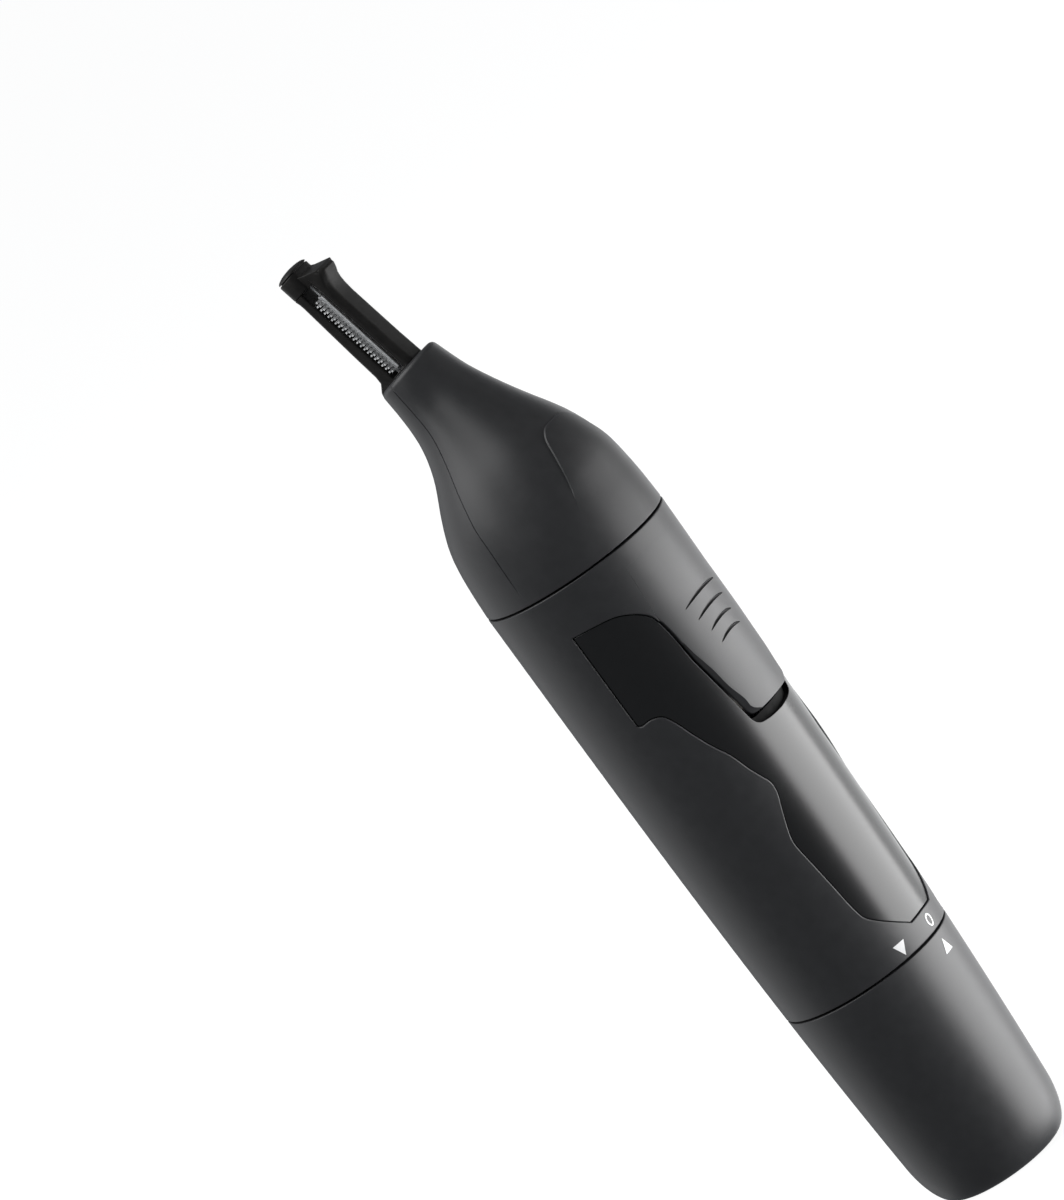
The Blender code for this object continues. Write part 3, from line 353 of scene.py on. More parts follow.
def sheet(name, outline, surface, wall, holes=(), creases=(), edge=EDGE, spacing=1.25, wraps=False,
          steps=4, material=None):
    """A closed skin with crisp, rounded edges.

    outline and holes are loops in the unwrapped plane, and surface maps (plane points, depths) to space.
    edge is the rounding radius, or a function of the loop's points that gives one for each. A skin that
    wraps has the full width of the plane, and its left and right sides are welded.
    """
    loops = [counter_clockwise(outline)] + [counter_clockwise(hole, False) for hole in holes]
    all_out, all_radius, insets = edge_insets(loops, edge, wraps)
    all_full = np.vstack(loops)
    plane, tris, origins = triangulated(insets, creases, spacing)
    out_of, radius, full = np.zeros((len(plane), 2)), np.zeros(len(plane)), plane.copy()
    for index, found in enumerate(origins):
        for origin in found:
            if origin < len(all_full):
                out_of[index], radius[index] = all_out[origin], all_radius[origin]
                full[index] = all_full[origin]
    corner_uv = plane[tris] * 0.9 + plane[tris].mean(1)[:, None] * 0.1
    outer_normals = surface_frame(surface, corner_uv.reshape(-1, 2))[2]
    if wraps:
        tris = welded(plane, tris)
    used = np.unique(tris)
    renumber = np.zeros(len(plane), int)
    renumber[used] = np.arange(len(used))
    tris = renumber[tris]
    plane, full, out_of, radius = plane[used], full[used], out_of[used], radius[used]
    size = len(used)
    border = border_edges(tris, size)
    rim = np.unique(border)
    place_of = np.zeros(size, int)
    place_of[rim] = np.arange(len(rim))
    along_u, along_v, facing = surface_frame(surface, plane - out_of * 0.01)
    away = along_u * out_of[:, :1] + along_v * out_of[:, 1:]
    away = away / np.maximum(np.linalg.norm(away, axis=1), 1e-9)[:, None]
    vertices = [surface(plane, np.zeros(size))]
    levels = [np.arange(size)]
    level_normals = [facing]
    for k in range(1, steps + 1) if np.max(all_radius) > 0 else ():
        turn = math.radians(90.0 * k / steps)
        r = radius[rim]
        uv = plane[rim] + out_of[rim] * (r * math.sin(turn))[:, None]
        levels.append(place_of + sum(len(v) for v in vertices))
        vertices.append(surface(uv, -r * (1 - math.cos(turn))))
        level_normals.append(facing * math.cos(turn) + away * math.sin(turn))
    inner = sum(len(v) for v in vertices)
    vertices.append(surface(full, np.full(size, -float(wall))))
    levels.append(np.arange(size) + inner)
    level_normals.append(away)
    quads, quad_normals = side_walls(border, levels, level_normals, away)
    inside = tris[:, ::-1]
    faces = tris.tolist() + (inside + inner).tolist() + quads
    normals = np.vstack([outer_normals, -facing[inside].reshape(-1, 3), quad_normals])
    return add_object(name, np.vstack(vertices), faces, normals, material)


def surface_frame(surface, uv):
    """The two directions along a surface and the one out of it, at points of the plane."""
    step = 0.002
    zero = np.zeros(len(uv))
    here = surface(uv, zero)
    along_u = surface(uv + np.array([step, 0.0]), zero) - here
    along_v = surface(uv + np.array([0.0, step]), zero) - here
    facing = np.cross(along_u, along_v)
    found = (along_u, along_v, facing)
    return tuple(v / np.maximum(np.linalg.norm(v, axis=1), 1e-12)[:, None] for v in found)


def turned(name, profile, material=None, steps=128, place=None, sharp=32.0):
    """Turns (radius, height) points round Z. The profile runs counter-clockwise, the axis on its left."""
    points, faces, rows = [], [], []
    for radius, height in profile:
        if radius < 1e-6:
            rows.append([len(points)] * steps)
            points.append((0.0, 0.0, height))
            continue
        rows.append(list(range(len(points), len(points) + steps)))
        for k in range(steps):
            angle = 2 * math.pi * k / steps
            points.append((radius * math.cos(angle), radius * math.sin(angle), height))
    closed = list(zip(rows, rows[1:] + rows[:1]))
    for lower, upper in closed:
        for k in range(steps):
            j = (k + 1) % steps
            ring = [lower[k], lower[j], upper[j], upper[k]]
            face = [v for n, v in enumerate(ring) if v != ring[n - 1]]
            if len(face) > 2:
                faces.append(face)
    made = add_object(name, points, faces, material=material)
    made.data.set_sharp_from_angle(angle=math.radians(sharp))
    if place is not None:
        made.matrix_world = place
    return made


# ---------------------------------------------------------------- surfaces
def handle_radius(height):
    """A barrel that tapers slowly below the body's seam and faster towards the cap's end."""
    down = (BODY_TOP - height) / TAPER_OVER
    return TOP_RADIUS - TAPER * down - TAPER_CURVE * down**3


def raised_by(distance):
    """A relief that is the same everywhere."""
    return lambda angle, height: np.full(len(angle), distance)


def handle_surface(relief=None):
    """The handle's skin. relief gives how far a place stands out."""
    def surface(uv, depth):
        radius = handle_radius(uv[:, 1]) + depth
        if relief:
            radius = radius + relief(uv[:, 0] / PER_DEGREE, uv[:, 1])
        angle = uv[:, 0] / FLAT_RADIUS
        return np.stack([radius * np.sin(angle), -radius * np.cos(angle), uv[:, 1]], 1)
    return surface


head_radius = natural_spline(HEAD_SECTIONS)


def spine(distance):
    """The head's axis at distances above the body's seam: y, z and lean."""
    lean = np.clip((distance - BEND_START) / BEND_RADIUS, 0, TILT)
    before = np.minimum(distance, BEND_START)
    beyond = np.maximum(distance - BEND_START - BEND_RADIUS * TILT, 0)
    y = BEND_RADIUS * (1 - np.cos(lean)) + beyond * math.sin(TILT)
    z = BODY_TOP + before + BEND_RADIUS * np.sin(lean) + beyond * math.cos(TILT)
    return y, z, lean


def head_surface(relief):
    def surface(uv, depth):
        distance = uv[:, 1]
        y, z, lean = spine(distance)
        radius = head_radius(distance) + depth + relief(uv[:, 0] / PER_DEGREE, distance)
        angle = uv[:, 0] / FLAT_RADIUS
        back = -radius * np.cos(angle)
        return np.stack([radius * np.sin(angle), y + back * np.cos(lean), z - back * np.sin(lean)], 1)
    return surface


# ---------------------------------------------------------------- materials
def new_material(name):
    made = bpy.data.materials.new(name)
    made.use_nodes = True
    nodes, links = made.node_tree.nodes, made.node_tree.links
    return made, nodes, links, nodes["Principled BSDF"]


def finish(name, colour, roughness, metallic=0.0, spread=0.12, patch=900.0, grain=9000.0, bump=0.02,
           stretch=(1, 1, 1), specular=0.5, rough_spread=0.06):
    """A surface whose colour and roughness drift a little, with a fine grain.

    spread and rough_spread are how far they drift, patch and grain are noise scales per metre, and bump is
    the grain's strength.
    """
    made, nodes, links, shader = new_material(name)
    place = nodes.new("ShaderNodeTexCoord")
    scaled = nodes.new("ShaderNodeMapping")
    scaled.inputs["Scale"].default_value = stretch
    links.new(place.outputs["Object"], scaled.inputs["Vector"])
    wide = nodes.new("ShaderNodeTexNoise")
    wide.inputs["Scale"].default_value = patch
    wide.inputs["Detail"].default_value = 3.0
    fine = nodes.new("ShaderNodeTexNoise")
    fine.inputs["Scale"].default_value = grain
    fine.inputs["Detail"].default_value = 2.0
    links.new(scaled.outputs["Vector"], wide.inputs["Vector"])
    links.new(scaled.outputs["Vector"], fine.inputs["Vector"])
    tint = nodes.new("ShaderNodeMapRange")
    tint.inputs["From Min"].default_value, tint.inputs["From Max"].default_value = 0.3, 0.7
    tint.inputs["To Min"].default_value, tint.inputs["To Max"].default_value = 1 - spread, 1 + spread
    links.new(wide.outputs["Fac"], tint.inputs["Value"])
    mix = nodes.new("ShaderNodeVectorMath")
    mix.operation = "SCALE"
    mix.inputs[0].default_value = colour
    links.new(tint.outputs["Result"], mix.inputs["Scale"])
    links.new(mix.outputs["Vector"], shader.inputs["Base Color"])
    rough = nodes.new("ShaderNodeMapRange")
    rough.inputs["From Min"].default_value, rough.inputs["From Max"].default_value = 0.3, 0.7
    rough.inputs["To Min"].default_value = max(roughness - rough_spread, 0.02)
    rough.inputs["To Max"].default_value = min(roughness + rough_spread, 1.0)
    links.new(wide.outputs["Fac"], rough.inputs["Value"])
    links.new(rough.outputs["Result"], shader.inputs["Roughness"])
    lift = nodes.new("ShaderNodeBump")
    lift.inputs["Strength"].default_value = bump
    lift.inputs["Distance"].default_value = 0.00005
    links.new(fine.outputs["Fac"], lift.inputs["Height"])
    links.new(lift.outputs["Normal"], shader.inputs["Normal"])
    shader.inputs["Metallic"].default_value = metallic
    shader.inputs["Specular IOR Level"].default_value = specular
    return made


HOUSING = finish("housing", (0.024, 0.024, 0.0255), 0.43, spread=0.08, patch=600.0, bump=0.1, grain=12000.0,
                 rough_spread=0.015)
PANEL = finish("panel_gloss", (0.005, 0.005, 0.0053), 0.27, spread=0.1, bump=0.0, rough_spread=0.003)
# Painted shade: a near black, barely reflecting finish for the floor of the gap under the tongue, standing
# in for the shadow inside that gap.
POCKET_SHADE = finish("pocket_painted_shade", (0.005, 0.005, 0.005), 0.8, bump=0.1, specular=0.12)
GUARD = finish("guard_plastic", (0.011, 0.0102, 0.0095), 0.42, bump=0.08, specular=0.24)
PRINT = finish("white_print", (0.8, 0.8, 0.8), 0.5, spread=0.03, bump=0.03)
STEEL = finish("brushed_steel", (0.55, 0.55, 0.56), 0.3, 1.0, stretch=(1, 1, 12), bump=0.1)
# Steel with painted sheen: a light base colour and only half metallic, so the comb and blade show a diffuse
# brightness that stands in for the reflections lighting them.
BLADE_STEEL_AND_SHEEN = finish("blade_steel", (0.85, 0.85, 0.85), 0.4, 0.45, stretch=(1, 1, 12), bump=0.1)
NICKEL = finish("nickel", (0.62, 0.6, 0.56), 0.25, 1.0, bump=0.05)
COPPER = finish("copper", (0.6, 0.3, 0.16), 0.35, 1.0, bump=0.1)
BRASS = finish("brass", (0.6, 0.45, 0.18), 0.3, 1.0, bump=0.05)
FRAME_PLASTIC = finish("frame_plastic", (0.16, 0.165, 0.17), 0.45, bump=0.1)
WHITE_PLASTIC = finish("white_plastic", (0.6, 0.6, 0.58), 0.4, bump=0.06)
RUBBER = finish("rubber", (0.02, 0.02, 0.02), 0.7, bump=0.2)
FERRITE = finish("ferrite", (0.04, 0.04, 0.042), 0.6, bump=0.25)
JACKET = finish("cell_jacket", (0.03, 0.06, 0.05), 0.3, spread=0.05, bump=0.02)
LEAD_RED = finish("lead_red", (0.45, 0.02, 0.015), 0.4, bump=0.03)
LEAD_BLACK = finish("lead_black", (0.015, 0.015, 0.015), 0.4, bump=0.03)

CAD_FINISH = {
    STEEL: ["cap_spring", "tongue_spring", "return_spring", "motor_screw_left", "motor_screw_right",
            "bracket_screw_left", "bracket_screw_right", "rocker_pin", "motor_shaft"],
    NICKEL: ["contact_sleeve", "cap_contact", "positive_contact", "contact_strip", "switch_wiper",
             "motor_can", "battery_cell"],
    COPPER: ["motor_armature"],
    BRASS: ["commutator", "motor_bush", "motor_terminal_left", "motor_terminal_right"],
    FRAME_PLASTIC: ["cap_spigot", "lock_ring", "chassis", "coupling_collar", "head_frame", "bush_bracket"],
    WHITE_PLASTIC: ["motor_end_cap", "eccentric_cam", "rocker", "drive_rod"],
    RUBBER: ["cap_seal_ring", "head_seal_ring", "shaft_seal", "neck_seal"],
    FERRITE: ["motor_magnet_left", "motor_magnet_right"],
    JACKET: ["battery_jacket"],
    LEAD_RED: ["lead_positive"],
    LEAD_BLACK: ["lead_negative"],
}


# ---------------------------------------------------------------- handle
def wrap_outline(low, high, step=0.6):
    across = np.linspace(-HALF_TURN, HALF_TURN, int(2 * HALF_TURN / step) + 1)
    up = np.linspace(low, high, int((high - low) / 1.1) + 1)
    bottom = np.stack([across, np.full(len(across), low)], 1)
    right = np.stack([np.full(len(up), HALF_TURN), up], 1)
    top = bottom[::-1] + (0, high - low)
    left = (right * (-1, 1))[::-1]
    return np.vstack([bottom, right[1:], top[1:], left[1:-1]])


def opening_edge(loop):
    """The opening's rounding: none where the tongue grows out of the body."""
    joined = (np.abs(loop[:, 0]) < 36.0 * PER_DEGREE) & (loop[:, 1] > SLIT_TOP)
    fading = EDGE + (NO_EDGE - EDGE) * ramp(loop[:, 1], SLIT_TOP, SLIT_TOP + 1.0)
    return np.where(joined, fading, EDGE)


def body_edge(loop):
    """The opening's rounding, and less of it in the sharp corner between the panel and the tongue's root."""
    if np.ptp(loop[:, 0]) > HALF_TURN * 1.9:
        return np.full(len(loop), EDGE)
    corner_angle, corner_height = TONGUE_TOP_RUN[0]
    away = np.hypot(np.abs(loop[:, 0]) + corner_angle * PER_DEGREE, loop[:, 1] - corner_height)
    return np.minimum(opening_edge(loop), NO_EDGE + 0.15 * away)


face_side = natural_spline(list(zip(FACE_HEIGHTS, FACE_ANGLES)))
tongue_side = natural_spline(list(zip(SIDE_HEIGHTS, SIDE_ANGLES)))


def tongue_relief(angle, height):
    """The tongue rises to its free end, has chamfered sides there, and four grip grooves."""
    raised = TONGUE_RAISE * np.clip((RAISE_FROM - height) / RAISE_OVER, 0, 1)
    at = np.clip(height, FACE_HEIGHTS[0], FACE_HEIGHTS[-1])
    face = face_side(at)
    width = np.maximum(tongue_side(at) - face, 0.0) * PER_DEGREE
    beyond = np.clip((np.abs(angle) - face) * PER_DEGREE / np.maximum(width, 1e-3), 0, 1)
    drop = np.minimum(raised + CHAMFER_DROP, CHAMFER_SLOPE * width) * beyond
    out = raised - drop
    for middle, half in GRIPS:
        share = np.clip(1 - (angle / half) ** 2, 0, 1)
        width = np.maximum(GRIP_HALF * np.sqrt(share), 1e-4)
        across = (height - middle - GRIP_ARCH * share) / width
        out = out - GRIP_DEPTH * np.sqrt(share) * np.clip(1 - across**2, 0, 1)
    return out


def grip_lines():
    lines = []
    for middle, half in GRIPS:
        angle = np.linspace(-0.997, 0.997, 41) * half
        share = 1 - (angle / half) ** 2
        for across in (-1, -0.6, -0.2, 0.2, 0.6, 1):
            height = middle + GRIP_ARCH * share + across * GRIP_HALF * np.sqrt(share)
            lines.append(np.stack([angle * PER_DEGREE, height], 1))
    return lines


def chamfer_lines():
    height = np.linspace(*CHAMFER_ENDS, 44)
    side = np.stack([-face_side(height) * PER_DEGREE, height], 1)
    return [side, side * (-1, 1)]


def build_handle():
    """The body's skin with one opening, the panel in it, the tongue and the floor of the gap below it."""
    top_line = [TONGUE_TOP_RUN[-1], (0.0, TONGUE_TOP)]
    opening = closed_mirror(PANEL_RUNS + [TONGUE_TOP_RUN, top_line])
    body = sheet("body_skin", wrap_outline(BODY_LOW, BODY_HIGH), handle_surface(), WALL, [opening],
                 edge=body_edge, wraps=True, material=HOUSING)
    own(body, "handle", "body_shell")

    panel = grown(closed_mirror(PANEL_RUNS + [SLIT_RUN, POCKET_RUN]), -PANEL_GAP)
    made = sheet("panel_skin", panel, handle_surface(raised_by(-PANEL_DEPTH)), PANEL_THICK, edge=0.1,
                 spacing=1.0, material=PANEL)
    own(made, "handle", "front_inlay")

    tongue_runs = [TONGUE_END_RUN[::-1], SLIT_RUN[::-1], TONGUE_TOP_RUN, top_line]
    tongue = counter_clockwise(closed_mirror(tongue_runs))
    gap = SLIT * (1 - ramp(tongue[:, 1], SLIT_TOP - 0.4, SLIT_TOP + 0.5))
    made = sheet("tongue_skin", grown(tongue, -gap), handle_surface(tongue_relief), WALL + 0.1,
                 creases=grip_lines() + chamfer_lines(), edge=opening_edge, spacing=0.9, material=HOUSING)
    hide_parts("release_tongue")
    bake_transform(made)
    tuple(TONGUE_HELD)
    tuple(TONGUE_FREE)

    # The floor of the gap under the tongue is a sheet of painted shade, so the gap reads as shadowed.
    shelf = closed_mirror([SHELF_OUTER, [SHELF_OUTER[-1], SHELF_INNER[0]], SHELF_INNER])
    made = sheet("pocket_floor", shelf, handle_surface(raised_by(-POCKET_DEPTH)), 0.4, edge=0.05,
                 spacing=0.8, material=POCKET_SHADE)
    own(made, "handle")
    build_cap()
    build_marks()


def build_cap():
    """The turned cap: flat end with a shallow recess, long curl, wall, rounded rim and hollow inside."""
    height = np.concatenate([BASE_CURL * (1 - np.cos(np.linspace(0, math.pi / 2, 25))),
                             np.linspace(BASE_CURL, CAP_HIGH - EDGE, 16)[1:]])
    curl = np.clip(1 - height / BASE_CURL, 0, 1)
    radius = handle_radius(height) - BASE_IN * (1 - np.sqrt(1 - curl**2))
    outside = list(zip(radius, height))
    lip = handle_radius(CAP_HIGH)
    turn = np.linspace(0, math.pi / 2, 5)[1:]
    over = [(lip - EDGE * (1 - math.cos(t)), CAP_HIGH - EDGE * (1 - math.sin(t))) for t in turn]
    inner = [(handle_radius(z) - CAP_WALL, z) for z in (CAP_HIGH, 20.0, 7.5)]
    inner += [(8.6, 4.2), (7.4, CAP_FLOOR), (0.0, CAP_FLOOR)]
    recess = [(0.0, 0.12), (5.6, 0.12), (5.9, 0.0)]
    cap = turned("cap_skin", recess + outside + over + inner, HOUSING, 160)
    own(cap, "cap", "cap_shell")


def build_marks():
    """Printed marks: zero, on, a pointer on the body and one on the cap."""
    turn = np.linspace(0, 2 * math.pi, 41)[:-1]
    circle = np.stack([np.cos(turn), np.sin(turn)], 1)
    printed = handle_surface(raised_by(MARK_RAISE))

    def mark(name, loop, body, holes=()):
        made = sheet(name, loop, printed, MARK_THICK, holes, edge=0.0, spacing=0.5, material=PRINT)
        own(made, body)

    zero = np.array([0.0, 32.8])
    mark("mark_zero", zero + circle * (0.7, 0.9), "handle", [zero + circle * (0.45, 0.65)])
    aside = (MARK_TURN * PER_DEGREE, 0)
    bar = straight_sides([(-0.14, 31.8), (0.14, 31.8), (0.14, 33.6), (-0.14, 33.6)])
    mark("mark_on", bar + aside, "handle")
    down = straight_sides([(0.0, 31.75), (1.0, 33.55), (-1.0, 33.55)])
    mark("mark_pointer", down - aside, "handle")
    mark("cap_pointer", straight_sides([(-1.0, 28.0), (1.0, 28.0), (0.0, 29.9)]), "cap")


def own(made, body, *nodes):
    """Puts a piece on a body, in place of these CAD nodes."""
    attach(made, body)
    if nodes:
        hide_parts(*nodes)


# ---------------------------------------------------------------- head
# Both lists hold (distance above the body's seam, degrees from the front)
PARTING = [(0.0, 91.0), (3.4, 92.2), (6.1, 92.8), (8.8, 94.0), (11.5, 96.3), (14.4, 97.5), (17.3, 98.8),
           (19.8, 98.8), (22.1, 97.4), (24.4, 95.9), (27.0, 96.4), (31.9, 95.0)]
SHIELD_SIDE = [(6.0, 38.0), (8.8, 32.5), (10.0, 30.5), (12.0, 27.0), (14.0, 22.5), (15.6, 18.5),
               (18.0, 14.0)]
SHIELD_TOP, SHIELD_CORNER, SHIELD_RAISE, SHIELD_STEP = 15.6, 1.6, 0.22, 0.1
PARTING_HALF, PARTING_DEPTH = 0.08, 0.1
SHIELD_STARTS, PARTING_STARTS = (6.5, 11.0), (1.0, 5.0)  # distances over which each grows from nothing
parting_angle = natural_spline(PARTING)
shield_angle = natural_spline(SHIELD_SIDE)


def head_relief(angle, distance):
    """Long hollows at the sides, a raised shield at the front and the fine parting line."""
    side = np.abs(angle)
    along = ramp(distance, *FLUTE_STARTS) * (1 - ramp(distance, *FLUTE_ENDS))
    out = -FLUTE_DEPTH * along * np.exp(-(((side - FLUTE_ANGLE) / FLUTE_WIDTH) ** 2))
    per_degree = math.radians(1.0) * head_radius(distance)
    inside = (shield_angle(np.clip(distance, 6.0, 18.0)) - side) * per_degree
    below = SHIELD_TOP - distance
    round_side, round_top = np.maximum(SHIELD_CORNER - inside, 0), np.maximum(SHIELD_CORNER - below, 0)
    near = np.where((inside < SHIELD_CORNER) & (below < SHIELD_CORNER),
                    SHIELD_CORNER - np.hypot(round_side, round_top), np.minimum(inside, below))
    rise = np.clip(near / SHIELD_STEP, 0, 1) * ramp(distance, *SHIELD_STARTS)
    out = out + SHIELD_RAISE * rise
    off = np.abs(side - parting_angle(distance)) * per_degree
    fade = ramp(distance, *PARTING_STARTS)
    return out - PARTING_DEPTH * fade * np.clip(1 - off / PARTING_HALF, 0, 1)


def head_creases():
    lines = []
    distance = np.linspace(0.9, 30.6, 90)
    width = PARTING_HALF / (math.radians(1.0) * head_radius(distance))
    for shift in (-1, 0, 1):
        angle = (parting_angle(distance) + shift * width) * PER_DEGREE
        lines += [np.stack([angle, distance], 1), np.stack([-angle, distance], 1)]
    for inset in (0.0, SHIELD_STEP):
        turn = np.linspace(0, math.pi / 2, 9)[1:]
        low = np.linspace(6.6, SHIELD_TOP - SHIELD_CORNER, 30)
        reach = SHIELD_CORNER - inset
        distance = np.concatenate([low, SHIELD_TOP - SHIELD_CORNER + reach * np.sin(turn)])
        inside = np.concatenate([np.full(len(low), inset), SHIELD_CORNER - reach * np.cos(turn)])
        angle = shield_angle(distance) - inside / (math.radians(1.0) * head_radius(distance))
        left = np.stack([-angle * PER_DEGREE, distance], 1)
        top = np.linspace(left[-1, 0], -left[-1, 0], 30)[1:-1]
        lines.append(np.vstack([left, np.stack([top, np.full(len(top), SHIELD_TOP - inset)], 1),
                                (left * (-1, 1))[::-1]]))
    return lines


def build_head():
    def edge(loop):
        return np.where(loop[:, 1] > HEAD_HIGH - 1, RIM_EDGE, EDGE)
    made = sheet("head_skin", wrap_outline(HEAD_LOW, HEAD_HIGH), head_surface(head_relief), HEAD_WALL,
                 creases=head_creases(), edge=edge, wraps=True, steps=6, material=HOUSING)
    own(made, "head", "head_shell")


# ---------------------------------------------------------------- cutting bar
def bar_frame():
    return Matrix.Translation(Vector(NECK_RIM) * MM) @ Matrix.Rotation(-TILT, 4, "X")


def rounded(outline, radius, steps=4):
    """The outline with its corners turned into arcs."""
    p = np.array(outline, float)
    out = []
    for i, here in enumerate(p):
        before, after = p[i - 1] - here, p[(i + 1) % len(p)] - here
        reach = min(radius, 0.45 * np.linalg.norm(before), 0.45 * np.linalg.norm(after))
        start = here + before / np.linalg.norm(before) * reach
        end = here + after / np.linalg.norm(after) * reach
        for k in range(steps + 1):
            t = k / steps
            out.append((1 - t) ** 2 * start + 2 * t * (1 - t) * here + t * t * end)
    return np.array(out)


def mirror_x(right):
    """A closed outline from its right half, which runs counter-clockwise."""
    right = np.array(right, float)
    return np.vstack([right, (right * (-1, 1))[::-1]])


def lofted(name, rings, material=None, place=None, sharp=35.0):
    """A closed solid through rings of equal length. Each ring holds (x, y, z)."""
    bm = bmesh.new()
    rows = [[bm.verts.new(Vector(p) * MM) for p in ring] for ring in rings]
    for lower, upper in zip(rows, rows[1:]):
        for i in range(len(lower)):
            j = (i + 1) % len(lower)
            bm.faces.new((lower[i], lower[j], upper[j], upper[i]))
    bm.faces.new(rows[0][::-1])
    bm.faces.new(rows[-1])
    bmesh.ops.recalc_face_normals(bm, faces=bm.faces)
    mesh = bpy.data.meshes.new(name)
    bm.to_mesh(mesh)
    bm.free()
    mesh.shade_smooth()
    mesh.set_sharp_from_angle(angle=math.radians(sharp))
    made = bpy.data.objects.new(name, mesh)
    bpy.context.scene.collection.objects.link(made)
    if material:
        mesh.materials.append(material)
    if place is not None:
        made.matrix_world = place
    return made


def prism(name, outline, low, high, bevel=0.0, **how):
    """An outline in x and y, run from low to high along z, with its ends rounded over the bevel."""
    rings = []
    for share in (0.0, 0.3, 0.7, 1.0) if bevel else (1.0,):
        turn = math.radians(90 * share)
        shape = grown(np.array(outline), -bevel * (1 - math.sin(turn)))
        rings.append((shape, bevel * (1 - math.cos(turn))))
    stack = [[(x, y, low + up) for x, y in shape] for shape, up in rings]
    stack += [[(x, y, high - up) for x, y in shape] for shape, up in reversed(rings)]
    return lofted(name, stack, **how)


def combine(made, others, operation="UNION"):
    """Joins or cuts by Booleans, applies them and removes the other objects."""
    for other in others:
        step = made.modifiers.new("join", "BOOLEAN")
        step.operation = operation
        step.solver = "EXACT"
        step.object = other
    graph = bpy.context.evaluated_depsgraph_get()
    mesh = bpy.data.meshes.new_from_object(made.evaluated_get(graph))
    made.modifiers.clear()
    made.data = mesh
    mesh.shade_smooth()
    mesh.set_sharp_from_angle(angle=math.radians(35))
    for other in others:
        bpy.data.objects.remove(other)


def rail_rings(section, stations, radius=0.25):
    """Rings of a rail whose section changes along the bar."""
    rings = []
    for along, values in stations:
        rings.append([(x, v, along) for x, v in rounded(mirror_x(section(values)), radius)])
    return rings


# Sections across the bar hold (x, depth), and depth grows to the back. The rails' stations hold the place
# along the bar, from NECK_RIM, and the depth there
FRONT_RAIL = [(0.35, 2.6), (4.0, 2.5), (11.9, 2.5), (13.2, 2.6), (14.0, 2.75), (14.7, 3.0), (15.3, 3.45),
              (15.9, 3.75), (16.2, 3.7), (16.6, 3.3)]
BACK_RAIL = [(0.06, 4.5), (0.5, 4.3), (1.4, 3.25), (2.4, 3.05), (6.0, 2.95), (14.7, 2.6), (15.4, 2.62),
             (16.0, 2.75)]
RAIL_CORNER = 0.22
FOOT = [(1.2, -2.5), (2.0, -1.95), (2.5, -0.4), (2.6, 2.4), (1.75, 3.1)]
FOOT_LOW, FOOT_HIGH = 0.3, 0.62
PLUG_RADIUS, PLUG_LOW, PLUG_HIGH = 3.1, -4.4, 0.4
TANG_HALF, TANG_DEPTHS = 1.5, (-0.3, 0.8)

BLOCK = [(1.9, -0.5), (2.65, 0.2), (2.65, 1.9), (1.8, 2.75)]
BLOCK_LOW, BLOCK_HIGH = 16.03, 18.6
GROOVE = [(1.7, -0.4), (2.3, 0.3), (2.3, 1.8), (1.6, 2.4)]
DOME = [(1.9, -0.5), (2.6, 0.2), (2.6, 1.9), (1.8, 2.65)]
DOME_LOW, DOME_RISE, DOME_MIDDLE = 18.75, 0.65, 1.1
TIP_CORNER = 0.5
BEAK = [(-3.2, 16.15), (-3.35, 16.6), (-0.9, 17.5), (0.6, 18.4), (0.6, 16.0), (-0.6, 15.9), (-1.5, 16.0)]
BEAK_HALF = 1.95

TOOTH_PITCH, TOOTH_LENGTH = 0.6, 1.1
TOOTH_SIDES = (0.0, 0.06, 0.28, 0.34)  # root, tip, tip and root of a tooth, along the bar
TANG_SIDE = 1.15
RIDGES = [(-1.33, 0.5), (-0.85, 0.28), (0.85, 0.28), (1.33, 0.5)]  # place across the comb, height
RIDGE_HALF, RIDGE_LOW, RIDGE_HIGH = 0.11, 1.2, 14.1


def front_section(depth):
    """The front rail: a blunt edge, and a back that is hollowed round the comb."""
    return [(1.25, -depth), (2.0, -depth + 0.55), (2.05, -1.35), (1.3, -0.8), (0.62, -0.42)]


def back_section(depth):
    return [(1.7, 0.85), (2.55, 0.85), (2.6, depth - 0.7), (1.75, depth)]


def build_bar():
    """Two rails on a foot, and the plug that holds them in the neck, with a slot for the blade's tang."""
    place = bar_frame()
    made = lofted("blade_guard_skin", rail_rings(front_section, FRONT_RAIL, RAIL_CORNER), GUARD, place)
    back = lofted("back", rail_rings(back_section, BACK_RAIL, RAIL_CORNER), GUARD, place)
    profile = [(0.0, PLUG_LOW), (PLUG_RADIUS, PLUG_LOW), (PLUG_RADIUS, PLUG_HIGH - 0.15),
               (PLUG_RADIUS - 0.15, PLUG_HIGH), (0.0, PLUG_HIGH)]
    plug = turned("plug", profile, GUARD, 64, place=place)
    foot = prism("foot", rounded(mirror_x(FOOT), 0.25), FOOT_LOW, FOOT_HIGH, place=place, bevel=0.06)
    combine(made, [back, foot, plug])
    near, far = TANG_DEPTHS
    slot = [(-TANG_HALF, near), (TANG_HALF, near), (TANG_HALF, far), (-TANG_HALF, far)]
    combine(made, [prism("tang", slot, -6, 3, place=place)], "DIFFERENCE")
    own(made, "head", "blade_guard")
    build_tip(place)
    build_blades(place)


